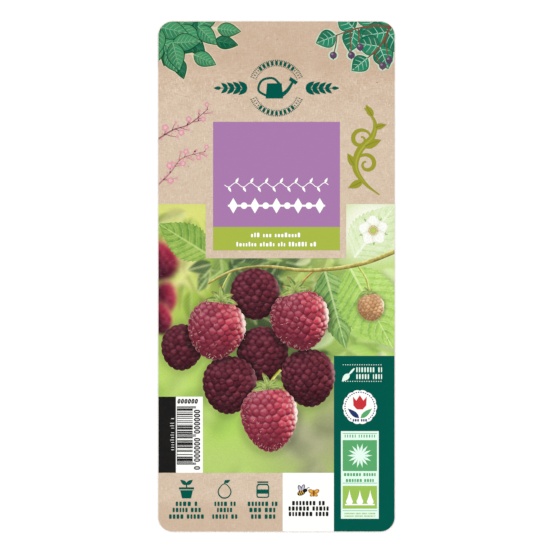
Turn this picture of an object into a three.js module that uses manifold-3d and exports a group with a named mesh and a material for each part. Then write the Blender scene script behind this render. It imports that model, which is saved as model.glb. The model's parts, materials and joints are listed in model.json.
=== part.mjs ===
// A printed plant label: a flat kraft card with rounded corners that lies on its back, face up.
// Millimetres. The origin is under the middle of the card. +X is the label's right, +Y its top, and +Z comes
// out of its printed face. Everything printed is a thin plate that stands in for a film of ink.
import * as THREE from "three";
import { mergeVertices } from "three/addons/utils/BufferGeometryUtils.js";
import Module from "manifold-3d";

const wasm = await Module();
wasm.setup();

// ---------------------------------------------------------------- driving dimensions

const CARD = { width: 100, height: 216, thickness: 0.5, cornerRadius: 6 };
const INK = 0.05; // thickness of one printed layer
const CLEARANCE = 0.3; // bare line between two motifs of one layer
const CUTTER_EXTRA = 1; // how far a cutting prism stands out above and below what it cuts
const RIGHT = CARD.width / 2;
const LEFT = -RIGHT;
const TOP = CARD.height / 2;
const BOTTOM = -TOP;

const PICTURE = { top: 30.7, bottom: -83.15 };
const NOTCH = { left: -30, right: 29.5, bottom: 7.7 }; // kraft border that hangs into the picture
const PANEL = { halfWidth: 26.85, top: 65.5, bottom: 21 };
const TAGLINE_BOTTOM = 11.1;
const COLUMN = { left: 24.3, top: -33.6, margin: 3.7, stopBeforeEdge: 5.1 };
const CODE = { top: -50.9, stripRight: -42.6, groundRight: -31.2 };
const BARS = {
  left: -42.2, right: -35.5, guardRight: -34.1, top: -55, bottom: -79.7, spine: 0.15, spread: 0.045,
};
const DIGIT = { modules: 7, perHalf: 6 };
const INSECT_CELL = { left: 2.6, right: COLUMN.left };
const EMBLEM = { x: 0, y: 79.8, outer: 11.6, inner: 9.7, arc: 1.15, sprigFrom: 12.4, sprigTo: 26.2 };

// ---------------------------------------------------------------- inks

function ink(color, roughness = 0.62) {
  return { color, roughness, metalness: 0 };
}
const INKS = {
  kraft: ink(0xd3bda2, 0.88),
  picture: ink(0x9fbf62, 0.5),
  violet: ink(0xad7ab2),
  lime: ink(0xa8be40),
  deepGreen: ink(0x025a4a),
  black: ink(0x212121),
  white: ink(0xfbfbf8),
  mint: ink(0xe6fff0),
  halo: ink(0xd9deb4),
  leafDark: ink(0x0f5f43),
  leafLight: ink(0x479062),
  twigBrown: ink(0x6e4a3c),
  pink: ink(0xcf8fa6),
  olive: ink(0x9a9a2f),
  fieldGreen: ink(0x5eac71),
  fieldLime: ink(0x9ec35c),
  red: ink(0xc9353c),
  navy: ink(0x24386b),
  orange: ink(0xc98a3a),
  berry: ink(0x9c2746, 0.45),
  berryDark: ink(0x6b2038, 0.45),
  berryUnripe: ink(0xd3a27a, 0.45),
  sunlitLeaf: ink(0xb5cf78, 0.5),
  shadyLeaf: ink(0x4f7f45, 0.5),
  cane: ink(0xa9a24c, 0.5),
};

// ---------------------------------------------------------------- solids

// The height of a printed layer's underside: layer 0 lies on the card, layer 1 on layer 0.
function layerHeight(layer) {
  return CARD.thickness + layer * INK;
}

function extruded(shape, from, depth) {
  const settings = { depth, bevelEnabled: false, curveSegments: 8 };
  return new THREE.ExtrudeGeometry(shape, settings).translate(0, 0, from);
}

function solidFrom(geometry) {
  const bare = geometry.clone();
  bare.deleteAttribute("normal");
  bare.deleteAttribute("uv");
  const merged = mergeVertices(bare, 1e-4);
  const mesh = new wasm.Mesh({
    numProp: 3,
    vertProperties: new Float32Array(merged.attributes.position.array),
    triVerts: new Uint32Array(merged.index.array),
  });
  return new wasm.Manifold(mesh);
}

function geometryFrom(solid) {
  const mesh = solid.getMesh();
  const geometry = new THREE.BufferGeometry();
  geometry.setAttribute("position", new THREE.BufferAttribute(mesh.vertProperties, 3));
  geometry.setIndex(new THREE.BufferAttribute(mesh.triVerts, 1));
  geometry.computeVertexNormals();
  return geometry;
}

// A prism through every layer, for trimming what stands in its outline.
function cutter(shape) {
  const height = CARD.thickness + 10 * INK + 2 * CUTTER_EXTRA;
  return solidFrom(extruded(shape, -CUTTER_EXTRA, height));
}

// One printed plate: shapes fused, kept inside one outline, with others cut out of it.
function plateGeometry(shapes, layer, within, without) {
  const prisms = shapes.map((shape) => extruded(shape, layerHeight(layer), INK));
  if (prisms.length === 1 && !within && without.length === 0) return prisms[0];
  let solid = solidFrom(prisms[0]);
  for (const prism of prisms.slice(1)) solid = solid.add(solidFrom(prism));
  if (within) solid = solid.intersect(cutter(within));
  for (const hole of without) solid = solid.subtract(cutter(hole));
  return geometryFrom(without.length ? largestBody(solid) : solid);
}

// What is left of a motif behind others, without the scraps that they cut off it.
function largestBody(solid) {
  return solid.decompose().sort((a, b) => b.volume() - a.volume())[0];
}

const label = new THREE.Group();

function addNode(name, geometry, inkOfNode) {
  const mesh = new THREE.Mesh(geometry, new THREE.MeshStandardMaterial(inkOfNode));
  mesh.name = name;
  label.add(mesh);
}

function print(name, shapes, layer, inkOfNode, { within = null, without = [] } = {}) {
  addNode(name, plateGeometry([shapes].flat(), layer, within, without), inkOfNode);
}

// ---------------------------------------------------------------- outlines

const degrees = THREE.MathUtils.degToRad;

function polygon(points) {
  return new THREE.Shape(points.map(([x, y]) => new THREE.Vector2(x, y)));
}

// Points turned by an angle in degrees, then moved to x, y.
function placed(points, x, y, angle = 0) {
  const cos = Math.cos(degrees(angle));
  const sin = Math.sin(degrees(angle));
  return points.map(([px, py]) => [x + px * cos - py * sin, y + px * sin + py * cos]);
}

function rectangle(left, bottom, right, top) {
  return polygon([[left, bottom], [right, bottom], [right, top], [left, top]]);
}

// Corner radii go round from the lower left: lower left, lower right, upper right, upper left.
function roundedRectangle(left, bottom, right, top, radii) {
  const [lowerLeft, lowerRight, upperRight, upperLeft] = radii;
  const shape = new THREE.Shape();
  const corners = [
    [left + lowerLeft, bottom + lowerLeft, lowerLeft, 180],
    [right - lowerRight, bottom + lowerRight, lowerRight, 270],
    [right - upperRight, top - upperRight, upperRight, 0],
    [left + upperLeft, top - upperLeft, upperLeft, 90],
  ];
  shape.moveTo(left, bottom + lowerLeft);
  for (const [x, y, radius, start] of corners) {
    if (radius > 0) shape.absarc(x, y, radius, degrees(start), degrees(start + 90), false);
    else shape.lineTo(x, y);
  }
  return shape;
}

// A closed outline from a radius for each angle round x, y.
function polarOutline(x, y, radiusAt, steps) {
  const points = [];
  for (let i = 0; i < steps; i++) {
    const turn = (2 * Math.PI * i) / steps;
    const radius = radiusAt(turn);
    points.push([x + radius * Math.cos(turn), y + radius * Math.sin(turn)]);
  }
  return polygon(points);
}

function disc(x, y, radius, steps = 20) {
  return polarOutline(x, y, () => radius, steps);
}

function ellipse(x, y, halfWidth, halfHeight, angle = 0, steps = 24) {
  const points = [];
  for (let i = 0; i < steps; i++) {
    const turn = (2 * Math.PI * i) / steps;
    points.push([halfWidth * Math.cos(turn), halfHeight * Math.sin(turn)]);
  }
  return polygon(placed(points, x, y, angle));
}

// A band along a smooth curve through points, with its width at each share of the way.
function band(points, widthAt, steps = 24) {
  const curve = new THREE.SplineCurve(points.map(([x, y]) => new THREE.Vector2(x, y)));
  const leftSide = [];
  const rightSide = [];
  for (let i = 0; i <= steps; i++) {
    const share = i / steps;
    const at = curve.getPointAt(share);
    const along = curve.getTangentAt(share);
    const half = widthAt(share) / 2;
    leftSide.push([at.x - along.y * half, at.y + along.x * half]);
    rightSide.push([at.x + along.y * half, at.y - along.x * half]);
  }
  return polygon([...rightSide, ...leftSide.reverse()]);
}

// A width that narrows evenly from its start to its end.
function tapering(from, to) {
  return (share) => from + (to - from) * share;
}

// A width that swells in the middle of a pen stroke.
function swelling(ends, middle) {
  return (share) => ends + (middle - ends) * Math.sin(Math.PI * share) ** 1.5;
}

// A tendril that leaves x, y and curls in on itself, to the left for positive turns.
function tendrilPoints({ x, y, leaves, radius, turns }, steps = 12) {
  const side = Math.sign(turns);
  const start = degrees(leaves) - (side * Math.PI) / 2;
  const [middleX, middleY] = [x - radius * Math.cos(start), y - radius * Math.sin(start)];
  const points = [];
  for (let i = 0; i <= steps; i++) {
    const share = i / steps;
    const reach = radius * (1 - 0.78 * share);
    const turn = start + 2 * Math.PI * turns * share;
    points.push([middleX + reach * Math.cos(turn), middleY + reach * Math.sin(turn)]);
  }
  return points;
}

// The half width of a leaf at a share of its length, widest nearer its stalk.
function leafHalfWidth(width, share) {
  return (width / 2) * Math.sin(Math.PI * share ** 0.78);
}

// A plain leaf along +X from its stalk, with a small blunt foot so that it joins a twig.
function leaf(x, y, angle, length, width, grow = 0, steps = 5) {
  const upper = [];
  for (let i = 0; i <= steps; i++) {
    const share = i / steps;
    const half = leafHalfWidth(width, share) + grow + 0.12 * (1 - share);
    upper.push([length * share + (share - 0.5) * 2 * grow, half]);
  }
  const lower = upper.slice(0, -1).reverse().map(([px, py]) => [px, -py]);
  const tip = upper[steps];
  tip[1] = 0;
  return polygon(placed([...upper, ...lower], x, y, angle));
}

// A toothed leaf along +X: its teeth are shallow, and each leans towards the tip.
function toothedLeaf({ x, y, angle, length, width, teeth }, grow = 0) {
  const upper = [];
  for (let i = 0; i < teeth; i++) {
    const notch = i / teeth;
    const point = (i + 0.8) / teeth;
    upper.push([length * notch, leafHalfWidth(width, notch) * 0.93 + grow + 0.3]);
    upper.push([length * point, leafHalfWidth(width, point) * 1.06 + grow + 0.3]);
  }
  const lower = upper.map(([px, py]) => [px, -py]).reverse();
  return polygon(placed([...upper, [length + grow, 0], ...lower], x, y, angle));
}

// A blossom of rounded petals.
function blossom(x, y, radius, petals, turned = 0, depth = 0.34, steps = 4) {
  const radiusAt = (turn) => {
    const lobe = Math.abs(Math.cos(((turn - degrees(turned)) * petals) / 2));
    return radius * (1 - depth + depth * lobe ** 0.6);
  };
  return polarOutline(x, y, radiusAt, petals * steps);
}

// A raspberry seen from the side: broad at its stalk, and narrower towards its tip by its taper.
// Each drupelet on its rim makes one bulge.
function berryOutline({ x, y, width, length, lean, taper }, grow = 0) {
  const drupelets = Math.round((width + length) / 2.1);
  const stepsPerDrupelet = 3;
  const steps = drupelets * stepsPerDrupelet;
  const points = [];
  for (let i = 0; i < steps; i++) {
    const turn = (2 * Math.PI * i) / steps;
    const bulge = 0.955 + 0.045 * Math.abs(Math.sin((turn * drupelets) / 2)) ** 0.7;
    const across = (width / 2) * Math.sin(turn) * (1 + taper * Math.cos(turn));
    const along = (length / 2) * Math.cos(turn);
    const reach = Math.hypot(across, along);
    const scale = bulge + grow / reach;
    points.push([across * scale, along * scale]);
  }
  return polygon(placed(points, x, y, lean));
}

// The small green leaves round a berry's stalk, turned back from it, and its own stalk where it has one.
function sepalShapes({ x, y, width, length, lean, stalk }, grow = 0) {
  const size = width / 24;
  const [foot] = placed([[0, length * 0.47]], x, y, lean);
  const shapes = SEPALS.spread.map((spread, i) => {
    const reach = SEPALS.length * size * (1 - 0.18 * (i % 2));
    const bend = Math.sign(spread) * reach * 0.2;
    const line = [[0, -0.6 * size], [0, reach * 0.45], [bend, reach * 0.95]];
    const swell = (share) => Math.sin(Math.PI * Math.min(0.98, share * 0.9 + 0.08)) ** 0.8;
    const widthAt = (share) => SEPALS.width * size * swell(share) + 2 * grow;
    return band(placed(line, ...foot, lean - spread * 1.15), widthAt, 8);
  });
  if (stalk) shapes.push(band([...stalk, foot], () => 1.1 + 2 * grow, 8));
  return shapes;
}

// A falling drop with its point up.
function drop(x, y, radius, height) {
  const shape = new THREE.Shape();
  shape.moveTo(x, y + height);
  shape.quadraticCurveTo(x - radius * 0.3, y + radius * 1.2, x - radius, y);
  shape.absarc(x, y, radius, Math.PI, 2 * Math.PI, false);
  shape.quadraticCurveTo(x + radius * 0.3, y + radius * 1.2, x, y + height);
  return shape;
}

const cardOutline = roundedRectangle(LEFT, BOTTOM, RIGHT, TOP, Array(4).fill(CARD.cornerRadius));

// ---------------------------------------------------------------- card and printed fields

function addCard() {
  addNode("card", extruded(cardOutline, 0, CARD.thickness), INKS.kraft);
}

const pictureOutline = polygon([
  [LEFT, PICTURE.top], [NOTCH.left, PICTURE.top],
  [NOTCH.left, NOTCH.bottom], [NOTCH.right, NOTCH.bottom],
  [NOTCH.right, PICTURE.top], [RIGHT, PICTURE.top],
  [RIGHT, COLUMN.top], [COLUMN.left, COLUMN.top],
  [COLUMN.left, PICTURE.bottom], [CODE.groundRight, PICTURE.bottom],
  [CODE.groundRight, CODE.top], [LEFT, CODE.top],
]);

function addFields() {
  const { halfWidth, top, bottom } = PANEL;
  const strip = rectangle(LEFT, PICTURE.bottom, CODE.stripRight, CODE.top);
  const ground = rectangle(CODE.stripRight, PICTURE.bottom, CODE.groundRight, CODE.top);
  const cell = rectangle(INSECT_CELL.left, BOTTOM, INSECT_CELL.right, PICTURE.bottom);
  const columnRadii = [0, CARD.cornerRadius, 0, 0];
  const column = roundedRectangle(COLUMN.left, BOTTOM, RIGHT, COLUMN.top, columnRadii);
  print("picture_field", pictureOutline, 0, INKS.picture);
  print("name_panel", rectangle(-halfWidth, bottom, halfWidth, top), 0, INKS.violet);
  print("tagline_strip", rectangle(-halfWidth, TAGLINE_BOTTOM, halfWidth, bottom), 0, INKS.lime);
  print("side_column", column, 0, INKS.deepGreen);
  print("pot_size_strip", strip, 0, INKS.black);
  print("barcode_ground", ground, 0, INKS.white);
  print("insect_cell", cell, 0, INKS.white);
}

// Bars and gaps by turns, as on any bar code: two halves of six digits between guards that reach
// further. The widths are in a fixed random order, so they spell no number. The ink spreads a little past
// each bar's sides, and a thin spine joins the bars.
function addBarcode() {
  const { left, right, guardRight, top, bottom, spine, spread } = BARS;
  let seed = 16;
  const upTo = (count) => {
    seed = (seed * 16807) % 2147483647;
    return 1 + (seed % count);
  };
  const digit = () => {
    const widths = [upTo(2), upTo(2), upTo(2)];
    const rest = DIGIT.modules - widths[0] - widths[1] - widths[2];
    widths.splice(upTo(4) - 1, 0, rest);
    return widths.map((modules) => ({ modules, reach: right }));
  };
  const half = () => Array.from({ length: DIGIT.perHalf }, digit).flat();
  const guard = (count) => Array(count).fill({ modules: 1, reach: guardRight });
  const stripes = [...guard(3), ...half(), ...guard(5), ...half(), ...guard(3)];
  const module = (top - bottom) / stripes.reduce((sum, { modules }) => sum + modules, 0);
  const comb = [[left, bottom]];
  let y = bottom;
  stripes.forEach(({ modules, reach }, i) => {
    const next = y + modules * module;
    if (i % 2 === 0) comb.push([reach, Math.max(y - spread, bottom)], [reach, Math.min(next + spread, top)]);
    else comb.push([left + spine, y + spread], [left + spine, next - spread]);
    y = next;
  });
  comb.push([left, top]);
  print("barcode_bars", polygon(comb), 1, INKS.black);
}

// ---------------------------------------------------------------- corner sprays and blossom twigs

// The place and heading at a share of the way along a twig that bows sideways between its ends.
function onTwig({ from, to, bow }, share) {
  const [dx, dy] = [to[0] - from[0], to[1] - from[1]];
  const reach = Math.hypot(dx, dy);
  const sway = bow * Math.sin(Math.PI * share);
  const x = from[0] + dx * share - (dy / reach) * sway;
  const y = from[1] + dy * share + (dx / reach) * sway;
  const turned = Math.atan2(Math.PI * bow * Math.cos(Math.PI * share), reach);
  return { x, y, heading: THREE.MathUtils.radToDeg(Math.atan2(dy, dx) + turned) };
}

// Leaves in pairs along a twig, each pair smaller than the last, with one leaf at its tip.
function sprayLeaves(spray) {
  const { pairs, length, width, spread } = spray;
  const leaves = [];
  for (let i = 0; i <= pairs; i++) {
    const share = 0.15 + (0.85 * i) / pairs;
    const size = 1 - 0.3 * share;
    const { x, y, heading } = onTwig(spray, share);
    for (const side of i === pairs ? [0] : [spread, -spread]) {
      leaves.push({ x, y, angle: heading + side, length: length * size, width: width * size });
    }
  }
  return leaves;
}

function sprayTwig(spray, thickness) {
  const points = [0, 0.25, 0.5, 0.75, 1].map((share) => {
    const { x, y } = onTwig(spray, share);
    return [x, y];
  });
  return band(points, tapering(thickness, thickness * 0.5), 8);
}

const LEFT_SPRAY = {
  shade: [
    { from: [-54, 101], to: [-26, 100], bow: 1.5, pairs: 2, length: 14, width: 7.4, spread: 44 },
    { from: [-50, 108], to: [-42, 92.5], bow: 1, pairs: 2, length: 13, width: 7.2, spread: 42 },
  ],
  sunlit: [
    { from: [-54, 104], to: [-25, 105], bow: 1.5, pairs: 3, length: 14, width: 7.8, spread: 40 },
    { from: [-50, 106], to: [-47, 95], bow: -1, pairs: 2, length: 14, width: 7.6, spread: 44 },
    { from: [-53, 109], to: [-35, 94], bow: -2, pairs: 2, length: 14.5, width: 8.4, spread: 40 },
  ],
};

const RIGHT_SPRAY = [
  { from: [54, 105], to: [25, 102], bow: -2.5, pairs: 3, length: 12.4, width: 10.2, spread: 62 },
  { from: [48, 106], to: [38.5, 92.5], bow: 1.5, pairs: 2, length: 12, width: 9.8, spread: 60 },
];
// Each fruit hangs from a share of the way along one of the two twigs, below it and a little aside.
const RIGHT_SPRAY_FRUIT = [
  { twig: 0, share: 0.98, aside: -1.5, below: 8.5 },
  { twig: 0, share: 0.78, aside: 0.5, below: 10.5 },
  { twig: 0, share: 0.66, aside: 0.8, below: 8 },
  { twig: 1, share: 0.75, aside: 3.2, below: 6 },
  { twig: 1, share: 0.3, aside: 1.6, below: 9.5 },
];
const FRUIT_RADIUS = 1.5;
const HALO_WIDTH = 0.7;
const CORNER_SHADE = { x: LEFT + 2, y: TOP - 4, radius: 8 };
const TWIG_WIDTH = { left: 1, right: 0.9, fruitStalk: 0.5 };

function leafShapes(sprays, grow = 0) {
  return sprays.flatMap(sprayLeaves).map((at) => leaf(at.x, at.y, at.angle, at.length, at.width, grow));
}

// The leaves and twigs of sprays, all wider by grow.
function sprayShapes(sprays, twigWidth, grow = 0) {
  const twigs = sprays.map((spray) => sprayTwig(spray, twigWidth + 2 * grow));
  return [...leafShapes(sprays, grow), ...twigs];
}

// The shade lies under the whole spray, so the sunlit leaves stand on it.
function addLeftSpray() {
  const { shade, sunlit } = LEFT_SPRAY;
  const { x, y, radius } = CORNER_SHADE;
  const whole = (grow) => [
    ...sprayShapes([...shade, ...sunlit], TWIG_WIDTH.left, grow),
    disc(x, y, radius + grow),
  ];
  const onCard = { within: cardOutline };
  print("left_spray_halo", whole(HALO_WIDTH), 0, INKS.halo, onCard);
  print("left_spray_shade", whole(0), 1, INKS.leafDark, onCard);
  print("left_spray_leaves", sprayShapes(sunlit, TWIG_WIDTH.left), 2, INKS.leafLight, onCard);
}

// One small fruit and its stalk, both wider by grow.
function hangingFruit({ twig, share, aside, below }, grow = 0) {
  const { x, y } = onTwig(RIGHT_SPRAY[twig], share);
  const hangs = [[x, y], [x + aside * 0.3, y - below * 0.5], [x + aside, y - below]];
  const stalk = band(hangs, () => TWIG_WIDTH.fruitStalk + 2 * grow, 5);
  return [stalk, disc(x + aside, y - below, FRUIT_RADIUS + grow, 12)];
}

// The leaves' plate lies under the twigs and fruit too, so those stand on it.
function addRightSpray() {
  const fruit = (grow) => RIGHT_SPRAY_FRUIT.flatMap((hung) => hangingFruit(hung, grow));
  const whole = (grow) => [...sprayShapes(RIGHT_SPRAY, TWIG_WIDTH.right, grow), ...fruit(grow)];
  const twigs = RIGHT_SPRAY.map((spray) => sprayTwig(spray, TWIG_WIDTH.right));
  const onCard = { within: cardOutline };
  print("right_spray_halo", whole(HALO_WIDTH), 0, INKS.halo, onCard);
  print("right_spray_leaves", whole(0), 1, INKS.leafDark, onCard);
  print("right_spray_fruit", [...twigs, ...fruit(0)], 2, INKS.twigBrown, onCard);
}

const BLOSSOM_TWIGS = [
  { name: "blossom_twig_upper", points: [[-52, 57], [-44, 62], [-37, 64.5], [-29, 71]], flowers: 5, side: 1 },
  { name: "blossom_twig_lower", points: [[-52, 37], [-45, 44], [-40, 50], [-30, 53]], flowers: 6, side: -1 },
];

// Small blossoms on short stalks, turn about on each side of an arching twig.
function addBlossomTwigs() {
  for (const { name, points, flowers, side } of BLOSSOM_TWIGS) {
    const curve = new THREE.SplineCurve(points.map(([x, y]) => new THREE.Vector2(x, y)));
    const shapes = [band(points, tapering(0.9, 0.4), 12)];
    for (let i = 0; i < flowers; i++) {
      const share = 0.2 + (0.78 * i) / (flowers - 1);
      const at = curve.getPointAt(share);
      const along = curve.getTangentAt(share);
      const turn = (i % 2 ? -1 : 1) * side;
      const reach = 2.6 - 0.9 * share;
      const x = at.x + (along.x * 0.8 - along.y * turn) * reach;
      const y = at.y + (along.y * 0.8 + along.x * turn) * reach;
      const stalk = [[at.x, at.y], [(at.x + x) / 2 + 0.15, (at.y + y) / 2], [x, y]];
      shapes.push(band(stalk, tapering(0.4, 0.4), 2));
      shapes.push(blossom(x, y, 1.7 - 0.6 * share, 5, 40 * i));
    }
    print(name, shapes, 0, INKS.pink, { within: cardOutline });
  }
}

// ---------------------------------------------------------------- emblem, flourish and panel ornaments

const LAUREL = { pairs: 4, length: 4.7, width: 2, spread: 38, stem: 0.5 };

// Half of the ring round the emblem: an arc above or below the sprigs.
function ringHalf(middleAngle) {
  const { x, y, outer, inner, arc } = EMBLEM;
  const shape = new THREE.Shape();
  shape.absarc(x, y, outer, degrees(middleAngle) - arc, degrees(middleAngle) + arc, false);
  shape.absarc(x, y, inner, degrees(middleAngle) + arc, degrees(middleAngle) - arc, true);
  return shape;
}

// A laurel sprig from the emblem outwards: a thin stem, pairs of leaves that grow smaller, and a last leaf.
function laurelSprig(side) {
  const { x, y, sprigFrom, sprigTo } = EMBLEM;
  const { pairs, length, width, spread, stem } = LAUREL;
  const reach = sprigTo - sprigFrom - length * 0.6;
  const outwards = side > 0 ? 0 : 180;
  const points = [0, 0.5, 1].map((share) => [x + side * (sprigFrom + reach * share), y]);
  const shapes = [band(points, tapering(stem, stem * 0.6), 2)];
  for (let i = 0; i <= pairs; i++) {
    const share = i / pairs;
    const size = 1 - 0.3 * share;
    const foot = x + side * (sprigFrom + reach * share);
    for (const turn of i === pairs ? [0] : [spread, -spread]) {
      shapes.push(leaf(foot, y, outwards + turn, length * size, width * size, 0, 4));
    }
  }
  return shapes;
}

// A watering can from the side: body, spout with its rose, and a bowed handle.
function wateringCan(x, y) {
  const body = polygon(placed([[-4.2, -4], [3.2, -4], [2.6, 2.4], [-3.6, 2.4]], x, y));
  const spout = band([[x + 2, y - 3], [x + 5, y - 0.6], [x + 7.4, y + 3.2]], tapering(1.9, 0.9), 8);
  const rose = polygon(placed([[-0.5, -1.7], [1.1, -1.9], [1.1, 1.9], [-0.5, 1.7]], x + 7.3, y + 3.2, 56));
  const bow = [[-3.4, -3], [-7.2, -0.6], [-5.8, 3.6], [-1.2, 4.6], [1.8, 2]];
  return [body, spout, rose, band(placed(bow, x, y), () => 0.95, 20)];
}

function addEmblem() {
  const { x, y } = EMBLEM;
  print("emblem_ring_upper", ringHalf(90), 0, INKS.deepGreen);
  print("emblem_ring_lower", ringHalf(270), 0, INKS.deepGreen);
  print("emblem_can", wateringCan(x - 0.4, y - 0.4), 0, INKS.deepGreen);
  print("emblem_sprig_left", laurelSprig(-1), 0, INKS.deepGreen);
  print("emblem_sprig_right", laurelSprig(1), 0, INKS.deepGreen);
}

// A vine drawn with a broad pen: a bowed stem with two curled tendrils and five leaves.
const VINE = {
  stem: [[43.6, 34.6], [37.4, 39.5], [33.4, 46], [35.2, 53.4], [40.6, 59.2], [41.6, 65.6], [37.2, 71.4]],
  tendrils: [
    { x: 33.6, y: 48.4, leaves: 80, radius: 4.6, turns: -1.2 },
    { x: 40.2, y: 58.9, leaves: 100, radius: 4.6, turns: 1.2 },
  ],
  leaves: [
    { x: 36.6, y: 40.4, angle: 205, length: 7 },
    { x: 33.4, y: 46.4, angle: 120, length: 6.8 },
    { x: 36.6, y: 55, angle: 20, length: 8.4 },
    { x: 41.4, y: 63, angle: 15, length: 5.4 },
    { x: 40.8, y: 67.6, angle: 120, length: 6 },
  ],
};

function addFlourish() {
  const tendrils = VINE.tendrils.map((at) => band(tendrilPoints(at), swelling(0.75, 1.8), 26));
  const leaves = VINE.leaves.map((at) => leaf(at.x, at.y, at.angle, at.length, at.length * 0.46));
  print("vine_flourish", [band(VINE.stem, swelling(0.6, 3), 28), ...tendrils, ...leaves], 0, INKS.olive);
}

// A light garland over a row of bold lozenges and beads, where a label carries its plant's name.
const GARLAND = {
  halfWidth: 22, y: 38.8, wave: 0.9, leaves: 14, leafLength: 2.6, leafWidth: 0.95, line: 0.32,
};
const LOZENGES = {
  halfWidth: 20.6, y: 30, count: 9, halfWide: 1.95, halfHigh: 3.3, bead: 1.4, line: 0.8,
};

function addPanelOrnaments() {
  print("panel_garland", garlandShapes(GARLAND), 1, INKS.white);
  print("panel_lozenges", lozengeShapes(LOZENGES), 1, INKS.white);
}

function garlandShapes({ halfWidth, y, wave, leaves, leafLength, leafWidth, line }) {
  const waveAt = (x) => y + wave * Math.sin((x * Math.PI * leaves) / (2 * halfWidth));
  const steps = leaves * 6;
  const stem = [];
  for (let i = 0; i <= steps; i++) {
    const x = -halfWidth + (2 * halfWidth * i) / steps;
    stem.push([x, waveAt(x)]);
  }
  const shapes = [band(stem, () => line, steps)];
  for (let i = 0; i < leaves; i++) {
    const x = -halfWidth + (2 * halfWidth * (i + 0.5)) / leaves;
    const side = i % 2 ? 1 : -1;
    shapes.push(leaf(x, waveAt(x) - side * 0.1, side * 62, leafLength, leafWidth, 0, 3));
  }
  return shapes;
}

function lozengeShapes({ halfWidth, y, count, halfWide, halfHigh, bead, line }) {
  const shapes = [rectangle(-halfWidth, y - line / 2, halfWidth, y + line / 2)];
  const pitch = (2 * halfWidth) / count;
  for (let i = 0; i < count; i++) {
    const x = -halfWidth + pitch * (i + 0.5);
    const lozenge = [[halfWide, 0], [0, halfHigh], [-halfWide, 0], [0, -halfHigh]];
    shapes.push(i % 2 ? disc(x, y, bead, 16) : polygon(placed(lozenge, x, y)));
  }
  return shapes;
}

// ---------------------------------------------------------------- green column

const BADGE = { x: 35.3, y: -55.3, radius: 7.3, scallops: 14 };
const CERTIFICATE = { left: 27.3, right: 43.3, top: -65.5, bottom: -102.6, border: 0.75 };
const UPPER_FIELD = { top: -69.3, bottom: -82.4 };
const LOWER_FIELD = { top: -88.7, bottom: -98.3 };
const COLUMN_RULES = { upper: -37.4, lower: -44.4, height: 0.45 };
const TROWEL = { x: 30.9, y: -41.2 };
const SUN = { radius: 3.6, rayHeight: 1.7, rays: 14 };
const DROPS = { pitch: 4.4, radius: 1.45, height: 4.9, line: 0.6, lineHalfWidth: 6.3, up: 1.7 };

function addColumnHeading() {
  const from = COLUMN.left + COLUMN.margin;
  const to = RIGHT - COLUMN.stopBeforeEdge;
  const { upper, lower, height } = COLUMN_RULES;
  for (const [name, y] of [["column_rule_upper", upper], ["column_rule_lower", lower]]) {
    print(name, rectangle(from, y - height / 2, to, y + height / 2), 1, INKS.mint);
  }
  const { x, y } = TROWEL;
  const blade = leaf(x, y, 225, 4.6, 2.3);
  const handle = band(placed([[-0.3, -0.3], [0.6, 0.6], [2.1, 2.3]], x, y), swelling(0.5, 0.9), 8);
  print("column_trowel", [blade, handle], 1, INKS.mint);
}

// A scalloped rosette with a tulip between two leaves.
function addBadge() {
  const { x, y, radius, scallops } = BADGE;
  print("badge", blossom(x, y, radius, scallops, 0, 0.06, 6), 1, INKS.white);
  const petalTips = [[-2.9, 4.4], [-1.5, 2.7], [0, 5], [1.5, 2.7], [2.9, 4.4]];
  const cup = [...petalTips, [2.7, 0.6], [1.2, -1], [-1.2, -1], [-2.7, 0.6]];
  print("badge_tulip", polygon(placed(cup, x, y)), 2, INKS.red);
  print("badge_leaf_left", leaf(x - 0.4, y - 4.6, 140, 6.2, 2), 2, INKS.navy);
  print("badge_leaf_right", leaf(x + 0.4, y - 4.6, 40, 6.2, 2), 2, INKS.fieldGreen);
}

// A white card with a sun on its upper field and three drops over a water line on its lower one.
function addCertificate() {
  const { left, right, top, bottom, border } = CERTIFICATE;
  const [inLeft, inRight] = [left + border, right - border];
  const middle = (left + right) / 2;
  print("certificate", rectangle(left, bottom, right, top), 1, INKS.mint);
  const upperField = rectangle(inLeft, UPPER_FIELD.bottom, inRight, UPPER_FIELD.top);
  const lowerField = rectangle(inLeft, LOWER_FIELD.bottom, inRight, LOWER_FIELD.top);
  print("certificate_upper_field", upperField, 2, INKS.fieldGreen);
  print("certificate_lower_field", lowerField, 2, INKS.fieldLime);
  const sunY = (UPPER_FIELD.top + UPPER_FIELD.bottom) / 2;
  const { radius, rayHeight, rays } = SUN;
  const sun = polarOutline(middle, sunY, (turn) => radius + rayHeight * Math.cos(turn * rays) ** 3, rays * 8);
  print("certificate_sun", sun, 3, INKS.mint);
  const { pitch, line, lineHalfWidth, up } = DROPS;
  const waterY = LOWER_FIELD.bottom + up;
  const [waterLeft, waterRight] = [middle - lineHalfWidth, middle + lineHalfWidth];
  const shapes = [rectangle(waterLeft, waterY - line / 2, waterRight, waterY + line / 2)];
  for (const dx of [-pitch, 0, pitch]) {
    shapes.push(drop(middle + dx, waterY + DROPS.radius, DROPS.radius, DROPS.height));
  }
  print("certificate_drops", shapes, 3, INKS.white);
}

// ---------------------------------------------------------------- pictograms along the foot

const ICON_Y = -89.8;
const ICON_X = { pot: -38.1, pear: -22, jar: -5.8, bee: 10.6, butterfly: 15.8 };
const BUTTERFLY_SIZE = 0.85;

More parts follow.
